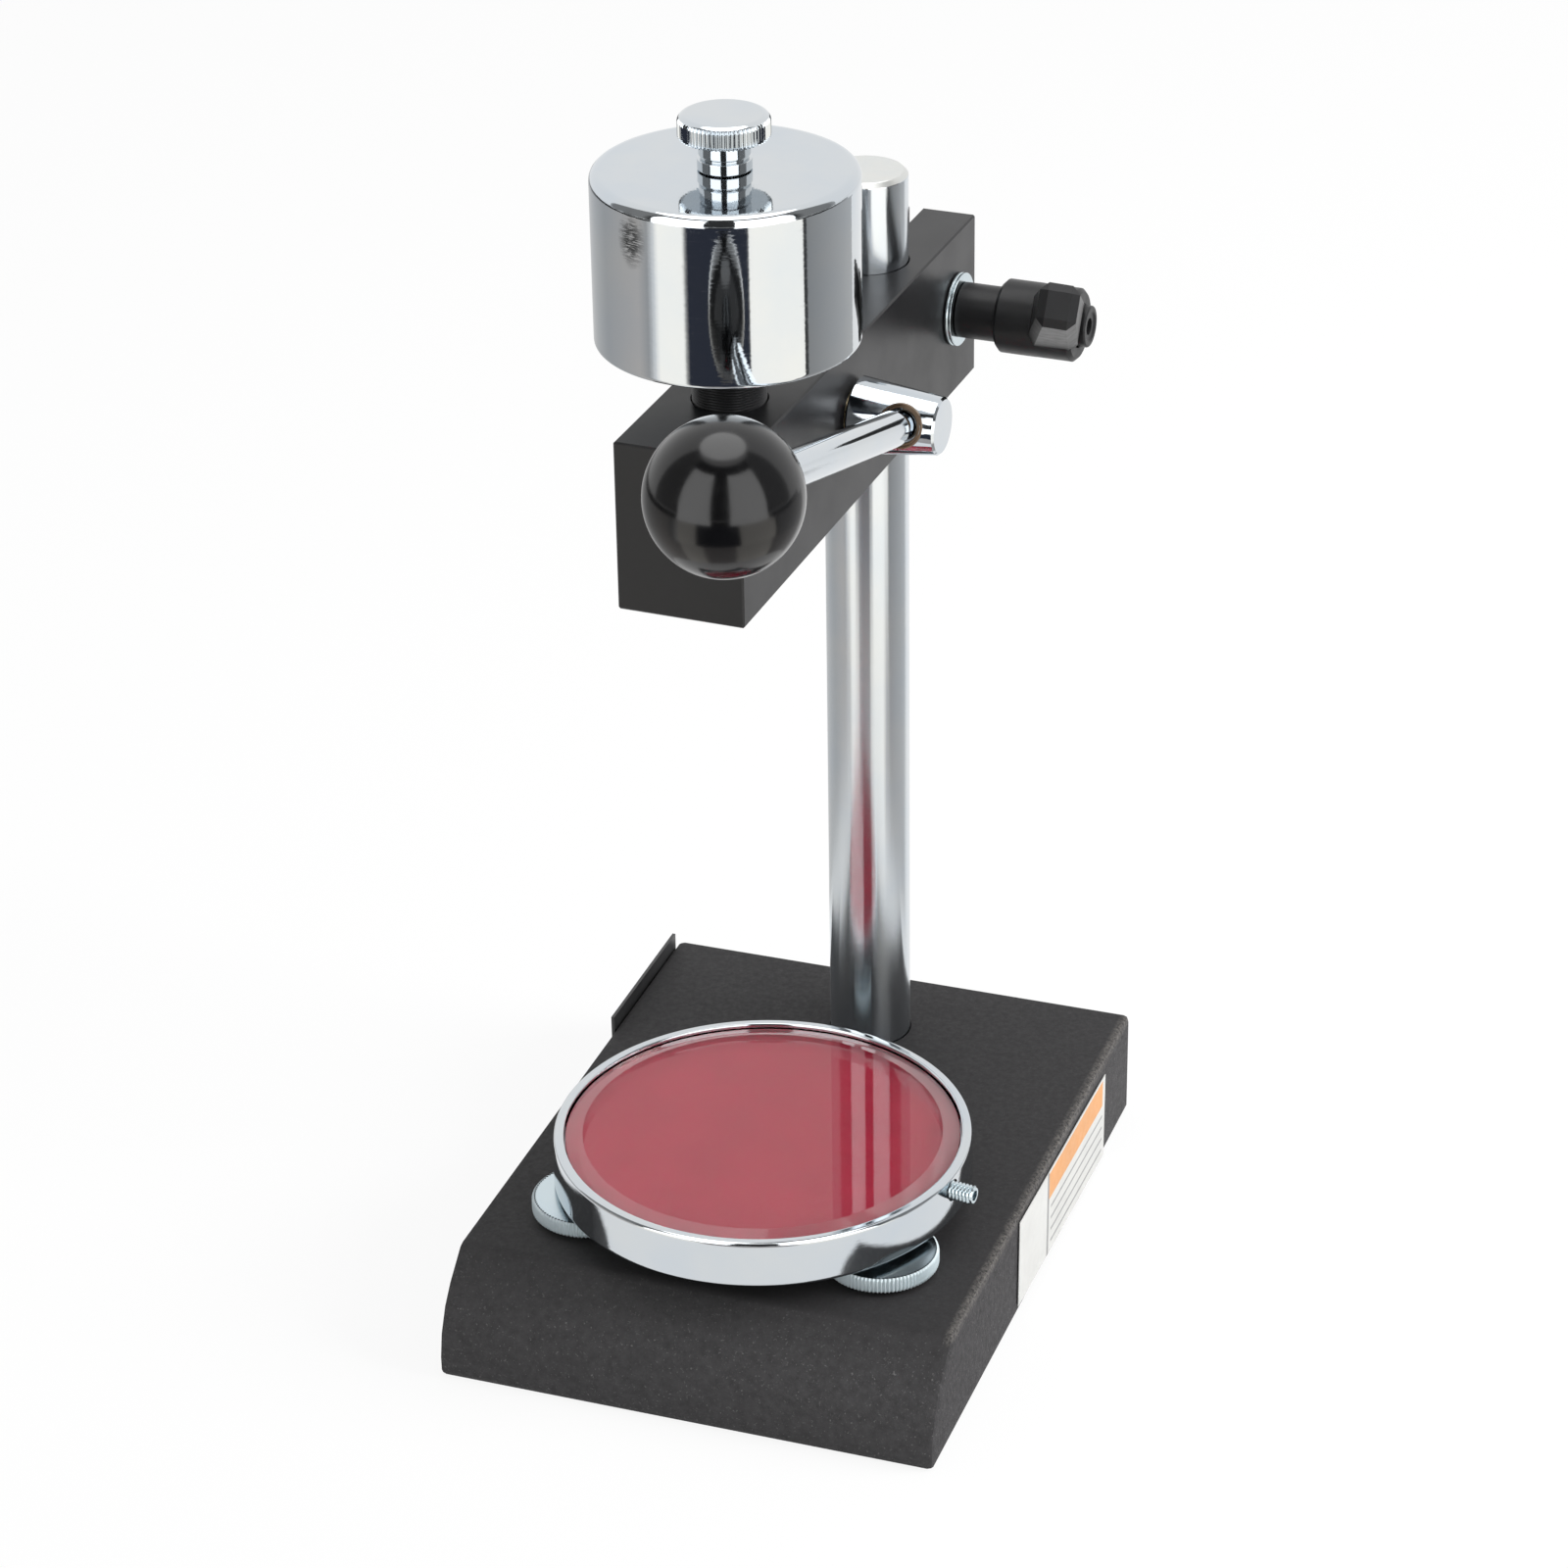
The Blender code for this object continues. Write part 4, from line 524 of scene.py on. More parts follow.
def gloss_finish(colour):
    """Glossy black moulding with the faint ripple of a moulded ball."""
    ripple_depth = 0.00001
    f = Finish("gloss_black", colour, 0.16)
    f.set("Roughness", f.ramp(f.noise(300.0, 4.0), (0.35, 0.14), (0.75, 0.19)))
    f.bump(f.noise(120.0, 2.0), ripple_depth, 0.3)
    return f.material


def glass_finish(name, colour, index, least, clear=1.0):
    """Clear plate glass with hairline scratches. least is the roughness between them."""
    hair_lay, hair_roughness = (60.0, 900.0, 1.0), 0.25
    f = Finish(name, colour, 0.0)
    f.set("Transmission Weight", clear)
    f.set("IOR", index)
    f.set("Roughness", f.ramp(f.noise(1.0, 3.0, 0.6, f.stretched(hair_lay)), (0.715, least), (0.74, hair_roughness)))
    return f.material


def even_finish(name, colour, roughness, depth=0.00002, specular=0.5):
    """Film, paint or moulded plastic: nearly even, with a light unevenness and tooth."""
    f = Finish(name, colour, roughness)
    f.set("Specular IOR Level", specular)
    f.set("Base Color", f.ramp(f.noise(70.0, 4.0), (0.3, toned(colour, 0.93)), (0.7, toned(colour, 1.05))))
    f.set("Roughness", f.ramp(f.noise(400.0, 3.0), (0.3, roughness * 0.9), (0.7, roughness * 1.15)))
    f.bump(f.noise(1500.0, 2.0), depth, 0.4)
    return f.material


# Sizes and colours that a user would change


def length(name, description, default):
    """A length in metres."""
    return FloatProperty(
        name=name, description=description, default=default, unit="LENGTH", subtype="DISTANCE", precision=5
    )


def bearing(name, description, degrees):
    """An angle, given in degrees."""
    return FloatProperty(name=name, description=description, default=radians(degrees), subtype="ANGLE")


def tooth_count(name, description, default):
    """A number of knurl teeth."""
    return IntProperty(name=name, description=description, default=default, min=12)


def light(name, description, default, unit="NONE"):
    """A strength, tone or power of light."""
    return FloatProperty(name=name, description=description, default=default, min=0.0, unit=unit)


def tint(name, description, default):
    """A colour."""
    return FloatVectorProperty(
        name=name, description=description, default=default, subtype="COLOR", size=3, min=0.0, max=1.0
    )


class StandSizes(bpy.types.PropertyGroup):
    """Small sizes that the solids leave out."""

    knob_teeth: tooth_count("Knob teeth", "Straight knurl teeth round the thumb knob", 64)
    knob_depth: length("Knob knurl depth", "Depth of the thumb knob's knurl", 0.00070)
    wheel_teeth: tooth_count("Wheel teeth", "Knurl teeth round a levelling wheel", 90)
    wheel_depth: length("Wheel knurl depth", "Depth of a levelling wheel's knurl", 0.00055)
    sleeve_pitch: length("Sleeve pitch", "Pitch of the fine thread on the guide sleeve", 0.00064)
    screw_pitch: length("Screw pitch", "Pitch of the set screw's thread", 0.0009)
    thread_depth: length("Thread depth", "Depth of the sleeve's fine thread", 0.00030)
    screw_depth: length("Screw depth", "Depth of the set screw's thread", 0.00050)
    weight_rounding: length("Weight rounding", "Rounding of the weight's upper edge", 0.0022)


class StandColours(bpy.types.PropertyGroup):
    """Colours of the finishes."""

    casting: tint("Casting", "Near-black cast base", (0.032, 0.0308, 0.0323))
    satin: tint("Satin black", "Arm and its cover", (0.014, 0.014, 0.015))
    chrome: tint("Chrome", "Weight, column, ring and lever", (0.63, 0.66, 0.68))
    faced: tint("Faced steel", "Turned top of the column", (0.74, 0.735, 0.70))
    zinc: tint("Zinc", "Levelling wheels, set screw and clamp washer", (0.60, 0.68, 0.71))
    steel: tint("Steel", "Machined steel inside the stand", (0.55, 0.56, 0.58))
    brass: tint("Brass", "Bushes", (0.70, 0.52, 0.24))
    bronze: tint("Bronze", "Brownish ring in the mouth of the lever's hub", (0.22, 0.15, 0.10))
    blackened: tint("Blackened steel", "Clamp lever, sleeve and screws", (0.016, 0.016, 0.017))
    ball: tint("Ball", "Glossy lever ball", (0.004, 0.004, 0.0045))
    glass: tint("Glass", "Clear table top", (0.97, 0.995, 0.99))
    red: tint("Red", "Red disc under the glass", (0.36, 0.016, 0.04))
    film: tint("Film", "Blank label film", (0.50, 0.50, 0.485))
    band: tint("Band", "Coloured band on the film", (0.56, 0.24, 0.06))
    rule: tint("Rule", "Thin ruled lines on the film", (0.22, 0.22, 0.22))
    plate: tint("Plate", "Dark blank plate on the left side", (0.030, 0.030, 0.031))
    nylon: tint("Nylon", "Column liner and set screw pad", (0.75, 0.74, 0.70))


class StudioSettings(bpy.types.PropertyGroup):
    """Camera and light."""

    camera_azimuth: bearing("Azimuth", "Camera's turn from the front to the right", 19.754)
    camera_elevation: bearing("Elevation", "Camera's height above the bench", 28.295)
    camera_roll: bearing("Roll", "Camera's lean", -0.916)
    camera_distance: length("Distance", "From the camera to what it looks at", 1.12209)
    camera_target: FloatVectorProperty(
        name="Target",
        description="What the camera looks at",
        default=(-0.004701, 0.007737, 0.122439),
        subtype="TRANSLATION",
        unit="LENGTH",
    )
    lens_angle: bearing("Lens angle", "Width of the view", 18.842)
    fill: light("Fill", "Strength of the even light all round", 0.55)
    key: light("Key", "Power of the overhead soft light", 3.0, "POWER")
    side: light("Side", "Power of the soft light on the right", 23.0, "POWER")
    boxes: light("Soft boxes", "Tone of the soft boxes in reflections", 2.4)
    bench: light("Bench", "Tone of the bright bench in reflections", 1.3)
    floor: tint("Floor", "Plain pale floor", (0.90, 0.90, 0.90))


FINISHES = {}


def scuff_spot():
    """A spot high on the weight's side, left of the front, where the chrome is scuffed."""
    low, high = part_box("drop_weight")
    centre, radius = (low + high) / 2, (high.x - low.x) / 2
    azimuth, drop = radians(-23.0), 0.0075
    return Vector((centre.x + radius * sin(azimuth), centre.y - radius * cos(azimuth), high.z - drop))


def finishes():
    """All finishes, made once and found by name."""
    if not FINISHES:
        colours = bpy.context.scene.stand_colours
        tone = {name: tuple(getattr(colours, name)) for name in StandColours.__annotations__}
        chrome, bright_chrome = tone["chrome"], toned(tone["chrome"], 1.06)
        streaks, turned_lines, column_lines = (150.0, 150.0, 9000.0), (300.0, 300.0, 1600.0), (150.0, 150.0, 8.0)
        face_grain, plate_cloud, fine = (900.0, 900.0, 900.0), (60.0, 60.0, 60.0), 0.000004
        made = (
            cast_finish(tone["casting"]),
            satin_finish(tone["satin"]),
            chrome_finish("chrome", chrome, 0.05, streaks, 0.000006),
            chrome_finish("weight_chrome", chrome, 0.05, turned_lines, 0.00002, marks=0.12, scuff=scuff_spot()),
            chrome_finish("column_chrome", bright_chrome, 0.17, column_lines, spread=(0.9, 1.1), brushed=0.95),
            metal_finish("bronze", tone["bronze"], 0.35),
            chrome_finish("faced_chrome", tone["faced"], 0.35, face_grain, spread=(0.92, 1.08)),
            chrome_finish("zinc", tone["zinc"], 0.18, plate_cloud),
            even_finish("knurled_zinc", toned(tone["zinc"], 1.05), 0.42, fine),
            metal_finish("steel", tone["steel"], 0.28),
            metal_finish("brass", tone["brass"], 0.25),
            even_finish("black_steel", tone["blackened"], 0.38, fine, 0.27),
            gloss_finish(tone["ball"]),
            glass_finish("glass", tone["glass"], 1.32, 0.0),
            glass_finish("bevel_glass", tone["glass"], 1.62, 0.06, 0.94),
            even_finish("red", tone["red"], 0.6, specular=0.1),
            even_finish("label", tone["film"], 0.35),
            even_finish("label_band", tone["band"], 0.35),
            even_finish("label_rule", tone["rule"], 0.4),
            even_finish("dark_plate", tone["plate"], 0.42),
            even_finish("nylon", tone["nylon"], 0.5),
        )
        FINISHES.update({material.name.split(".")[0]: material for material in made})
    return FINISHES


# Fitting pieces to the solids


def keep(*nodes, soft=0.0):
    """Keeps a solid's shape, with round shading, its finish and, where asked for, softened edges."""
    for name in nodes:
        solid = NODES[name]
        solid.data.materials.clear()
        solid.data.materials.append(finishes()[SLOTS[name]])
        if soft:
            solid.modifiers.new("weld", "WELD").merge_threshold = SOLID_WELD
            edges = solid.modifiers.new("soft edges", "BEVEL")
            edges.width, edges.segments, edges.limit_method, edges.angle_limit = soft, 2, "ANGLE", SHARP_ANGLE
        shading = solid.modifiers.new("corner shading", "NODES")
        shading.node_group = corner_shading()


def fit(piece, node, finish=None, extra=()):
    """Puts a finer piece in the place of its solid: finish, body and slot follow the solid."""
    for name in (finish or SLOTS[node], *extra):
        piece.data.materials.append(finishes()[name])
    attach(piece, NODES[node]["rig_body"])
    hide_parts(node)
    return piece


class StandOperator:
    """What every operator of the stand shares."""

    bl_options = {"REGISTER", "UNDO"}

    def execute(self, context):
        self.make(context.scene.stand_sizes)
        return {"FINISHED"}


class STAND_OT_base(StandOperator, bpy.types.Operator):
    """Finish the cast base, its side plate and its blank label"""

    bl_idname = "stand.base"
    bl_label = "Base"

    def make(self, sizes):
        keep("base_casting", "side_plate", "plate_rivet_front", "plate_rivet_rear", "column_bolt", "column_washer")
        self.label()

    def label(self):
        """A blank film: a framed part in front, a coloured band and ruled lines behind it."""
        low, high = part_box("side_label")
        across = (0.0, 0.02, 0.315, 0.335, 0.36, 0.97, 1.0)
        upward = (0.0, 0.10, 0.13, 0.24, 0.27, 0.38, 0.41, 0.52, 0.55, 0.66, 0.97, 1.0)
        flat = [v.co for v in NODES["side_label"].data.vertices if v.co.x > (low.x + high.x) / 2]
        front_low, rear_low, rear_high, front_high = (
            min(flat, key=lambda p: p.y * sy + p.z * sz) for sy, sz in ((1, 1), (-1, 1), (-1, -1), (1, -1))
        )
        bm = bmesh.new()

        def spot(u, v):
            """A point on the film, as shares of its length and height."""
            bottom = front_low.lerp(rear_low, u)
            return bottom.lerp(front_high.lerp(rear_high, u), v)

        def edge(layer):
            """The vertices round a layer of the film."""
            right, left = [row[-1] for row in layer[:-1]], [row[0] for row in layer[:0:-1]]
            return layer[0][:-1] + right + layer[-1][:0:-1] + left

        outer = [[bm.verts.new(spot(u, v)) for u in across] for v in upward]
        inner = [[bm.verts.new(Vector((low.x, *spot(u, v).yz))) for u in across] for v in upward]
        band_row, ruled_column, frame_column = len(upward) - 3, 4, 2
        for layer in (outer, inner):
            for j in range(len(upward) - 1):
                for i in range(len(across) - 1):
                    face = bm.faces.new((layer[j][i], layer[j][i + 1], layer[j + 1][i + 1], layer[j + 1][i]))
                    band = j == band_row and frame_column < i <= ruled_column
                    ruled = j % 2 == 1 and j < band_row and i == ruled_column
                    if layer is outer:
                        face.material_index = 1 if band else 2 if ruled or i == frame_column else 0
        skin(bm, [edge(outer), edge(inner)], closed=False)
        fit(finished_object("blank_label", bm), "side_label", extra=("label_band", "label_rule"))


class STAND_OT_column(StandOperator, bpy.types.Operator):
    """Make the chromed column with its faced and chamfered top"""

    bl_idname = "stand.column"
    bl_label = "Column"

    def make(self, sizes):
        local, radius, bottom, top = upright("column")
        chamfer, soft, bore = 0.0011, 0.0002, 0.0053
        bolt_top = span("column_bolt")[1].z + GAP
        profile = [
            (0, bolt_top),
            (bore, bolt_top),
            (bore, bottom),
            (radius - chamfer, bottom),
            (radius, bottom + chamfer, soft),
            (radius, top - chamfer, soft),
            (radius - chamfer, top, soft),
            (0, top),
        ]
        column = fit(turned("chromed_column", profile, local), "column", "column_chrome", ("faced_chrome",))
        for polygon in column.data.polygons:
            if polygon.normal.z > 0.5:
                polygon.material_index = 1


class STAND_OT_table(StandOperator, bpy.types.Operator):
    """Make the levelling table: ring, glass, red disc, plate and its hold-down screw"""

    bl_idname = "stand.table"
    bl_label = "Table"

    def make(self, sizes):
        keep("table_plate", "hold_down_screw", "hold_down_washer")
        local, radius, bottom, top = upright("table_ring")
        seat = upright("glass_disc")[1] + GAP
        ledge_top = upright("table_plate")[2] - GAP
        ledge = seat - 0.0016
        soft, lip, draft = 0.0009, 0.0005, 0.0004
        profile = [
            (ledge, bottom, lip),
            (radius, bottom, soft),
            (radius - draft, top, soft),
            (seat, top, lip),
            (seat, ledge_top),
            (ledge, ledge_top),
        ]
        ring = turned("chromed_ring", profile, local, SEGMENTS * 2, closed=True)
        hole = set_screw_axis()
        screw = span("set_screw", hole)[1].x + GAP
        reach = 0.008
        drill = turned("drill", [(0, -reach), (screw, -reach), (screw, reach), (0, reach)], hole, SEGMENTS // 2)
        fit(cut_away(ring, drill), "table_ring")
        self.glass()
        local, radius, bottom, top = upright("red_backing")
        profile = [(0, bottom), (radius, bottom), (radius, top), (0, top)]
        fit(turned("red_disc", profile, local, SEGMENTS * 2), "red_backing")
        self.spring()

    def glass(self):
        """The clear disc. Its wide bevel has a frosted finish of its own."""
        local, radius, bottom, top = upright("glass_disc")
        bevel_width, bevel_depth, rub = 0.0042, 0.0009, 0.00015
        flattest, steepest = cos(radians(4.0)), cos(radians(20.0))
        profile = [
            (0, bottom),
            (radius, bottom),
            (radius, top - bevel_depth, rub),
            (radius - bevel_width, top),
            (0, top),
        ]
        glass = turned("bevelled_glass", profile, local, SEGMENTS * 2, sharp=radians(8.0))
        fit(glass, "glass_disc", extra=("bevel_glass",))
        for polygon in glass.data.polygons:
            if steepest < polygon.normal.z < flattest:
                polygon.material_index = 1

    def spring(self):
        """The spring under the base's top that holds the table down."""
        local, radius, bottom, top = upright("hold_down_spring")
        wire, curls = 0.0012, 5
        piece = coil("hold_down_coil", radius - wire / 2, wire, bottom, top, curls, local)
        fit(piece, "hold_down_spring")
        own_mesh(piece)


class STAND_OT_levellers(StandOperator, bpy.types.Operator):
    """Make the three knurled levelling wheels with their plain studs"""

    bl_idname = "stand.levellers"
    bl_label = "Levelling wheels"

    def make(self, sizes):
        for corner in ("front_left", "front_right", "rear"):
            node = "levelling_screw_" + corner
            local, radius, bottom, top = upright(node)
            under, over = bottom + 0.0008, bottom + 0.0048
            tip, foot, stud, soft, chamfer = 0.0022, 0.0036, 0.0025, 0.0005, 0.0004
            boss, boss_top, boss_height, rub = stud + 0.0016, stud + 0.0012, 0.0003, 0.0001

            def knurled(reach, height, angle):
                """Cuts teeth into the rim."""
                depth = sizes.wheel_depth if reach > radius - soft * 1.2 else 0
                return reach - depth * tooth(angle, sizes.wheel_teeth)

            profile = [
                (0, bottom),
                (tip, bottom, rub * 3),
                (foot, under),
                (radius - soft, under),
                (radius, under + soft, rub * 2),
                (radius, over - soft, rub * 2),
                (radius - soft, over, rub),
                (boss, over, rub),
                (boss_top, over + boss_height, rub),
                (stud, over + boss_height),
                (stud, top - chamfer),
                (stud - chamfer, top),
                (0, top),
            ]
            wheel = turned("levelling_wheel_" + corner, profile, local, sizes.wheel_teeth * 4, wave=knurled)
            fit(wheel, node, extra=("knurled_zinc",))
            flat_enough = 0.6
            for polygon in wheel.data.polygons:
                reach = (polygon.center - local.translation).xy.length
                if reach > radius - soft * 2 and abs(polygon.normal.z) < flat_enough:
                    polygon.material_index = 1


class STAND_OT_set_screw(StandOperator, bpy.types.Operator):
    """Make the threaded set screw in the table's ring and its pad"""

    bl_idname = "stand.set_screw"
    bl_label = "Set screw"

    def make(self, sizes):
        keep("set_screw_pad")
        local = set_screw_axis()
        low, high = span("set_screw", local)
        piece = thread_rod("threaded_set_screw", high.x, sizes.screw_depth, sizes.screw_pitch, low.z, high.z, local)
        key, key_depth, key_sides = 0.0014, 0.0018, 6
        floor, past = high.z - key_depth, high.z + key_depth
        profile = [(0, floor), (key, floor), (key, past), (0, past)]
        fit(cut_away(piece, turned("key", profile, local, key_sides)), "set_screw")


class STAND_OT_arm(StandOperator, bpy.types.Operator):
    """Finish the clamp arm, its cover and bushes, and thread the guide sleeve"""

    bl_idname = "stand.arm"
    bl_label = "Arm"

    def make(self, sizes):
        keep("arm_body", "arm_cover", "column_liner", "lower_bush", "shaft_bush_left", "shaft_bush_right")
        for end in ("rear_left", "rear_right", "front_left", "front_right"):
            keep("cover_screw_" + end)
        local = spindle_axis()
        low, high = span("guide_sleeve", local)
        bore = span("spindle", local)[1].x + GAP
        depth, pitch = sizes.thread_depth, sizes.sleeve_pitch
        fit(thread_rod("threaded_sleeve", high.x, depth, pitch, low.z, high.z, local, bore), "guide_sleeve")


class STAND_OT_weight(StandOperator, bpy.types.Operator):
    """Make the chromed drop weight, and finish the spindle under it"""

    bl_idname = "stand.weight"
    bl_label = "Weight and spindle"

    def make(self, sizes):
        keep("spindle", "cross_pin")
        local = spindle_axis()
        low, high = span("drop_weight", local)
        radius, bore, soft = high.x, 0.0043, 0.0003
        profile = [
            (bore, low.z, soft),
            (radius, low.z, sizes.weight_rounding / 2),
            (radius, high.z, sizes.weight_rounding),
            (bore, high.z, soft),
        ]
        fit(turned("chromed_weight", profile, local, SEGMENTS * 2, closed=True), "drop_weight", "weight_chrome")


class STAND_OT_knob(StandOperator, bpy.types.Operator):
    """Make the thumb knob: a knurled rim on a neck with a collar under it"""

    bl_idname = "stand.knob"
    bl_label = "Thumb knob"

    def make(self, sizes):
        local = spindle_axis()
        low, high = span("thumb_knob", local)
        rim, rim_bottom = high.x, high.z - 0.0052
        collar, collar_top, neck, groove = 0.0060, low.z + 0.0024, 0.0057, 0.0052
        lip, soft, crown = 0.0002, 0.0004, 0.0012
        bore, roof = 0.0043, high.z - 0.0030

        def knurled(reach, height, angle):
            """Cuts teeth into the rim, below its crown."""
            near = reach > rim - soft * 1.3 and rim_bottom < height < high.z - crown * 0.6
            return reach - (sizes.knob_depth * tooth(angle, sizes.knob_teeth) if near else 0)

        profile = [
            (0, roof),
            (bore, roof),
            (bore, low.z),
            (collar, low.z, lip),
            (collar, collar_top, lip),
            (groove, collar_top + lip),
            (groove, collar_top + lip * 2),
            (neck, collar_top + lip * 4, lip * 2),
            (neck * 0.98, rim_bottom - lip * 2, lip),
            (groove, rim_bottom - lip),
            (groove, rim_bottom),
            (rim - soft, rim_bottom, lip / 2),
            (rim, rim_bottom + soft, lip),
            (rim, high.z - crown, lip * 1.5),
            (rim - crown * 0.45, high.z - crown * 0.35, crown * 0.4),
            (rim - crown * 1.2, high.z, crown * 0.3),
            (0, high.z),
        ]
        fit(turned("knurled_knob", profile, local, sizes.knob_teeth * 6, wave=knurled), "thumb_knob")


class STAND_OT_lever(StandOperator, bpy.types.Operator):
    """Make the lever's rod and ball, and finish its hub, shaft and fork"""

    bl_idname = "stand.lever"
    bl_label = "Ball lever"

    def make(self, sizes):
        keep("lever_shaft", "shaft_clip", "lifting_fork", "fork_pin", "lever_hub")
        low, high = span("ball_knob")
        ball = (low + high) / 2
        hub = sideways("lever_turn")
        pivot = hub @ Vector((0, 0, (hub.inverted() @ ball).z))
        local = axis_frame(pivot, ball - pivot, ARM_RIGHT)
        low, high = span("lever_rod", local)
        rod, neck, shoulder, soft, rub = high.x, 0.0031, 0.0122, 0.0011, 0.0003
        profile = [
            (0, low.z),
            (neck, low.z, rub),
            (neck, shoulder - soft / 2, rub),
            (rod, shoulder + soft / 3, soft),
            (rod, high.z, rub),
            (0, high.z),
        ]
        fit(turned("lever_bar", profile, local), "lever_rod")
        self.mouth_ring(local)
        self.ball(local, (ball - pivot).length, rod + GAP, high.z + GAP)

    def mouth_ring(self, local):
        """The brownish ring in the mouth of the hub."""
        mouth, wall, lip, seat = 0.0052, 0.00048, 0.0073, 0.0062
        profile = [
            (mouth, seat),
            (mouth, lip, wall / 4),
            (mouth - wall, lip, wall / 4),
            (mouth - wall, lip - wall, wall / 4),
            (mouth - wall * 2.4, lip - wall, wall / 4),
            (mouth - wall * 2.8, seat),
        ]
        ring = turned("mouth_ring", profile, local, closed=True)
        ring.data.materials.append(finishes()["bronze"])
        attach(ring, NODES["lever_rod"]["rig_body"])

    def ball(self, local, centre, hole, hole_end):
        """The ball, with a countersunk hole for the rod."""
        radius = span("ball_knob", local)[1].z - centre
        countersink, countersink_depth, rings = hole + 0.0006, 0.0003, SEGMENTS // 2
        mouth = centre - (radius**2 - countersink**2) ** 0.5
        profile = [(0, hole_end), (hole, hole_end), (hole, mouth + countersink_depth)]
        start = -pi / 2 + countersink / radius
        for i in range(rings + 1):
            angle = start + (pi / 2 - start) * i / rings
            profile.append((radius * cos(angle), centre + radius * sin(angle)))
        profile[-1] = (0, centre + radius)
        fit(turned("lever_ball", profile, local), "ball_knob")


class STAND_OT_clamp(StandOperator, bpy.types.Operator):
    """Finish the column clamp: bright washer, stud, pull-out handle, centre screw and spring"""

    bl_idname = "stand.clamp"
    bl_label = "Column clamp"

    def make(self, sizes):
        keep("clamp_stud")
        keep("clamp_handle", soft=0.0004)
        local = sideways("clamp_turn")
        self.centre_screw(local)
        self.washer(local)
        self.spring(local)

    def centre_screw(self, local):
        """The screw that holds the handle on its stud, with a dished head."""
        low, high = span("clamp_centre_screw", local)
        head, shank, key, head_height, key_depth, dish, soft = high.x, 0.0023, 0.0020, 0.0024, 0.0015, 0.0004, 0.0003
        profile = [
            (0, low.z),
            (shank, low.z),
            (shank, high.z - head_height),
            (head, high.z - head_height, soft),
            (head, high.z, soft * 2),
            (head * 0.74, high.z, soft),
            (head * 0.66, high.z - dish, soft),
            (key, high.z - dish, soft / 2),
            (key, high.z - key_depth),
            (0, high.z - key_depth),
        ]
        fit(turned("centre_screw", profile, local), "clamp_centre_screw")

    def washer(self, local):
        """The bright washer, with a groove round it."""
        low, high = span("clamp_washer", local)
        radius, bore, soft, rub = high.x, 0.0043, 0.0004, 0.0001
        groove = (high.z - low.z) / 6
        middle = (low.z + high.z) / 2
        profile = [
            (bore, low.z),
            (radius, low.z, soft),
            (radius, middle - groove, rub),
            (radius - groove, middle, rub),
            (radius, middle + groove, rub),
            (radius, high.z, soft),
            (bore, high.z),
        ]
        fit(turned("ribbed_washer", profile, local, closed=True), "clamp_washer")

    def spring(self, local):
        """The spring that draws the handle onto its stud."""
        low, high = span("clamp_spring", local)
        wire, curls = 0.0008, 3
        piece = coil("clamp_coil", high.x - wire / 2, wire, low.z, high.z, curls, local)
        fit(piece, "clamp_spring")
        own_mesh(piece)


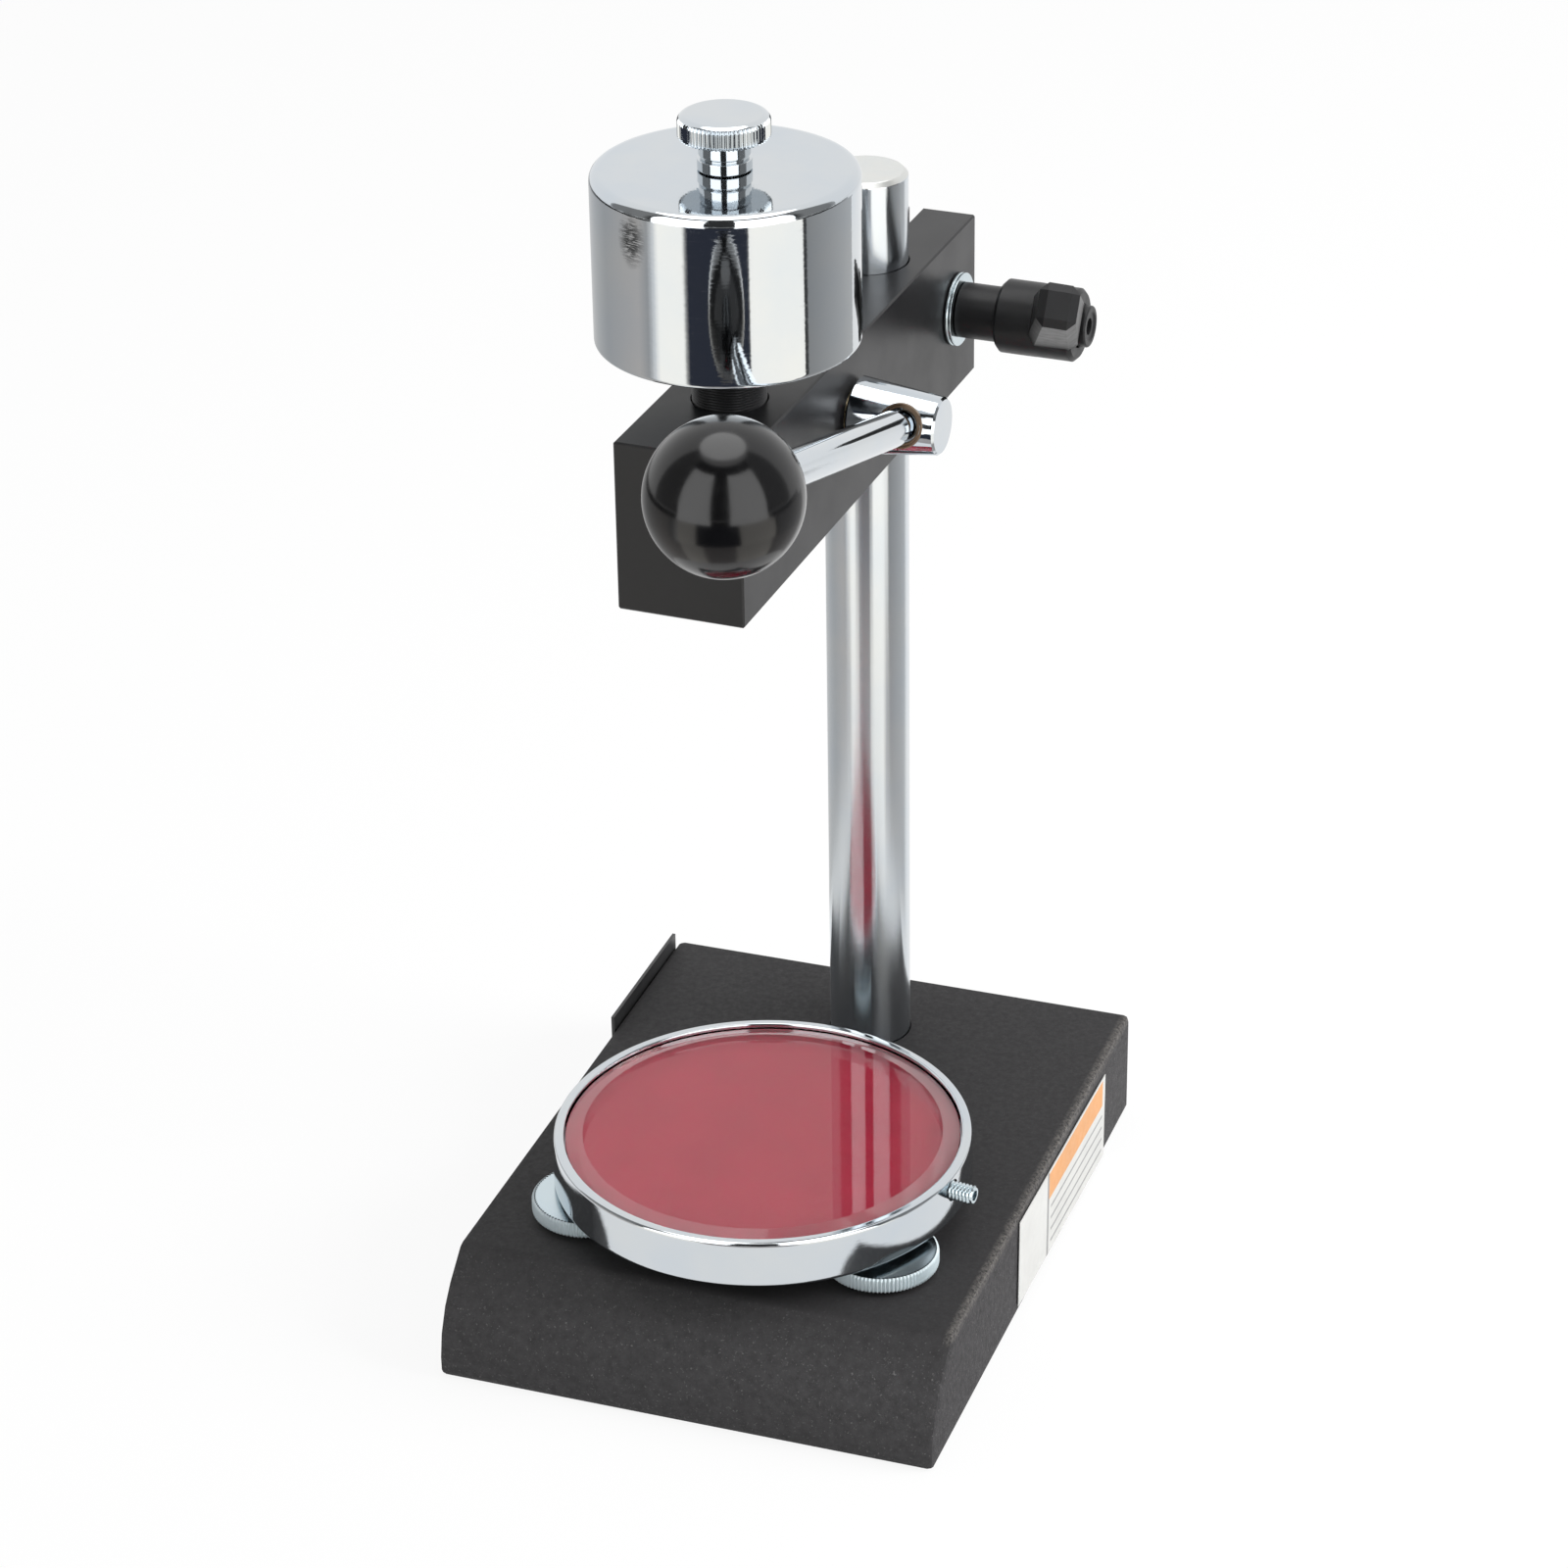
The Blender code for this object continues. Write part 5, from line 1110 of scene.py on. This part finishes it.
class STAND_OT_studio(bpy.types.Operator):
    """Set up the pale floor, the dark room behind the camera, the soft lights and the camera"""

    bl_idname = "stand.studio"
    bl_label = "Studio"
    bl_options = {"REGISTER", "UNDO"}

    def execute(self, context):
        settings = context.scene.studio_settings
        context.scene.view_settings.view_transform = "Standard"
        self.camera(context.scene, settings)
        self.world(context.scene, settings)
        self.floor(settings)
        self.cards(settings)
        self.lamp("key_light", (0.10, 0.30, 1.30), (0, 0, 0.15), 0.90, settings.key)
        self.lamp("side_light", (1.25, 0.22, 0.80), (0, 0, 0.15), 0.80, settings.side)
        return {"FINISHED"}

    def camera(self, scene, settings):
        """The camera, turned and raised about what it looks at."""
        a, e, roll = settings.camera_azimuth, settings.camera_elevation, settings.camera_roll
        back = Vector((sin(a) * cos(e), -cos(a) * cos(e), sin(e)))
        right = (-back).cross(UP).normalized()
        up = right.cross(-back)
        turned_right, turned_up = right * cos(roll) + up * sin(roll), up * cos(roll) - right * sin(roll)
        data = bpy.data.cameras.new("camera")
        camera = bpy.data.objects.new("camera", data)
        scene.collection.objects.link(camera)
        facing = Matrix((turned_right, turned_up, back)).transposed().to_4x4()
        place = Vector(settings.camera_target) + back * settings.camera_distance
        camera.matrix_world = Matrix.Translation(place) @ facing
        data.angle = settings.lens_angle
        data.clip_start, data.clip_end = 0.01, 20.0
        scene.camera = camera

    def world(self, scene, settings):
        """Plain white to the camera and to reflections, a plain even level to everything else."""
        world = bpy.data.worlds.new("studio")
        scene.world = world
        world.use_nodes = True
        nodes, link = world.node_tree.nodes, world.node_tree.links.new
        strength = nodes.new("ShaderNodeMapRange")
        strength.inputs["To Min"].default_value = settings.fill
        strength.inputs["To Max"].default_value = 1.0
        link(seen_directly(world.node_tree), strength.inputs["Value"])
        background = nodes["Background"]
        background.inputs["Color"].default_value = (1, 1, 1, 1)
        link(strength.outputs["Result"], background.inputs["Strength"])

    def floor(self, settings):
        """A wide pale floor that keeps the stand's soft shadow."""
        half, drop, whiteness, colour = 4.0, 0.0002, 0.90, tuple(settings.floor)
        bm = bmesh.new()
        corners = [(-half, -half), (half, -half), (half, half), (-half, half)]
        bm.faces.new([bm.verts.new((x, y, -drop)) for x, y in corners])
        floor = finished_object("floor", bm)
        f = Finish("floor", colour, 0.9)
        f.set("Specular IOR Level", 0.0)
        f.set("Base Color", f.ramp(f.noise(3.0, 2.0), (0.3, toned(colour, 0.99)), (0.7, colour)))
        glow = f.node("ShaderNodeEmission", {"Color": (1, 1, 1, 1), "Strength": 1.0}).outputs[0]
        share = f.product(seen_directly(f.tree), whiteness)
        f.surface(f.node("ShaderNodeMixShader", {0: share, 1: f.shader.outputs[0], 2: glow}).outputs[0])
        floor.data.materials.append(f.material)

    def arc_card(self, name, rows, stops, centre=(0.0, 0.0)):
        """A card bent round the stand or another centre, seen only in reflections.

        rows are its (distance, height) pairs, and stops its (azimuth in degrees, tone) pairs.
        """
        start, end = stops[0][0], stops[-1][0]
        bm = bmesh.new()
        steps = SEGMENTS
        layer = bm.loops.layers.uv.new("across")
        grid = []
        for distance, height in rows:
            line = []
            for i in range(steps + 1):
                angle = radians(start + (end - start) * i / steps)
                x, y = centre[0] + distance * sin(angle), centre[1] - distance * cos(angle)
                line.append(bm.verts.new((x, y, height)))
            grid.append(line)
        for j in range(len(rows) - 1):
            for i in range(steps):
                face = bm.faces.new((grid[j][i], grid[j][i + 1], grid[j + 1][i + 1], grid[j + 1][i]))
                for loop, (u, v) in zip(face.loops, ((i, j), (i + 1, j), (i + 1, j + 1), (i, j + 1))):
                    loop[layer].uv = (u / steps, v / (len(rows) - 1))
        card = finished_object(name, bm)
        f = Finish(name, (0.5, 0.5, 0.5), 1.0)
        across = f.coordinate(f.node("ShaderNodeUVMap", uv_map="across").outputs[0], "X")
        tones = f.ramp(across, *(((azimuth - start) / (end - start), tone) for azimuth, tone in stops))
        f.surface(f.node("ShaderNodeEmission", {"Color": tones, "Strength": 1.0}).outputs[0])
        card.data.materials.append(f.material)
        card.visible_camera = card.visible_diffuse = card.visible_shadow = False

    def cards(self, settings):
        """Painted reflections: a dark room with soft boxes left, right and overhead, and the tones that the bench
        shows further out, on cards that glow only in reflections.
        """

        def dome(reach, low, high):
            """Rows of a dome, from one elevation in degrees to another."""
            return [(reach * cos(radians(e)), reach * sin(radians(e))) for e in range(low, high, 3)]

        dark, wall, grey = 0.04, 0.25, 0.5
        box, overhead = settings.boxes, settings.boxes * 1.4
        room = [(-86, grey), (-83, wall), (-50, wall), (-43, dark), (78, dark), (86, wall), (113, wall), (120, grey)]
        self.arc_card("dark_room", dome(1.6, 1, 68), room)
        self.arc_card("left_soft_box", dome(1.5, -1, 59), [(-42, box), (2, box)])
        self.arc_card("right_soft_box", dome(1.5, -1, 59), [(27, box), (77, box)])
        self.arc_card("top_soft_box", [(0.001, 1.3), (0.5, 1.3)], [(0, overhead), (360, overhead)], (-0.06, 0.13))
        # painted reflection tones: dark_band is a dark band painted into the far bench card, and shaded is painted
        # shade on the near bench card
        dark_band, shaded = (0.034, 0.038, 0.053), (0.46, 0.43, 0.42)
        left_grey, right_grey = (0.56, 0.53, 0.51), (0.40, 0.38, 0.37)
        white = tuple(settings.bench * share for share in (1.06, 1.02, 0.95))
        paper, table_edge, near_bench, far_bench, clearance = toned(white, 0.86), 0.16, 0.33, 0.98, 0.001
        near = [
            (-160, 0.70), (-100, 0.50), (-58, left_grey), (-38, left_grey), (-35.5, paper), (-9, paper),
            (-5, shaded), (29, shaded), (32, paper), (77, paper), (80, right_grey), (150, 0.62),
        ]
        far = [
            (-160, 0.70), (-100, 0.45), (-58, left_grey), (-48, 0.42), (-42, 0.9), (-38, white), (-17, white),
            (-13, dark_band), (36, dark_band), (37, white), (83.5, white), (84.5, 0.06), (87, 0.06), (88, 0.33), (150, 0.57),
        ]
        beyond = [
            (-150, grey), (-100, dark), (-43, dark), (-42, box), (2, box), (3, dark),
            (26, dark), (27, box), (77, box), (78, dark), (110, dark), (140, grey),
        ]
        for name, start, end, stops in (
            ("bench_near", table_edge, near_bench, near),
            ("bench_far", near_bench, far_bench, far),
            ("bench_beyond", far_bench, 1.58, beyond),
        ):
            self.arc_card(name, [(start, clearance), (end, clearance)], stops)

    def lamp(self, name, place, target, size, power):
        """A round soft light that leaves no spot on the chrome: the cards are its reflections."""
        data = bpy.data.lights.new(name, "AREA")
        data.shape, data.size, data.energy = "DISK", size, power
        lamp = bpy.data.objects.new(name, data)
        bpy.context.scene.collection.objects.link(lamp)
        lamp.visible_glossy = False
        direction = Vector(target) - Vector(place)
        lamp.location = place
        lamp.rotation_euler = direction.to_track_quat("-Z", "Y").to_euler()


OPERATORS = (
    STAND_OT_base,
    STAND_OT_column,
    STAND_OT_table,
    STAND_OT_levellers,
    STAND_OT_set_screw,
    STAND_OT_arm,
    STAND_OT_weight,
    STAND_OT_knob,
    STAND_OT_lever,
    STAND_OT_clamp,
    STAND_OT_studio,
)


class STAND_PT_panel(bpy.types.Panel):
    """Steps, sizes and colours of the stand"""

    bl_idname = "STAND_PT_panel"
    bl_label = "Durometer Stand"
    bl_space_type = "VIEW_3D"
    bl_region_type = "UI"
    bl_category = "Stand"

    def draw(self, context):
        for operator in OPERATORS:
            self.layout.operator(operator.bl_idname)
        for group in (context.scene.stand_sizes, context.scene.stand_colours, context.scene.studio_settings):
            box = self.layout.box()
            for name in group.__annotations__:
                box.prop(group, name)


CLASSES = (StandSizes, StandColours, StudioSettings, *OPERATORS, STAND_PT_panel)


def register():
    for cls in CLASSES:
        bpy.utils.register_class(cls)
    bpy.types.Scene.stand_sizes = PointerProperty(type=StandSizes)
    bpy.types.Scene.stand_colours = PointerProperty(type=StandColours)
    bpy.types.Scene.studio_settings = PointerProperty(type=StudioSettings)


def unregister():
    del bpy.types.Scene.stand_sizes
    del bpy.types.Scene.stand_colours
    del bpy.types.Scene.studio_settings
    for cls in reversed(CLASSES):
        bpy.utils.unregister_class(cls)


def main():
    """Makes every piece and the studio."""
    register()
    for operator in OPERATORS:
        group, step = operator.bl_idname.split(".")
        getattr(getattr(bpy.ops, group), step)()


if __name__ == "__main__":
    main()
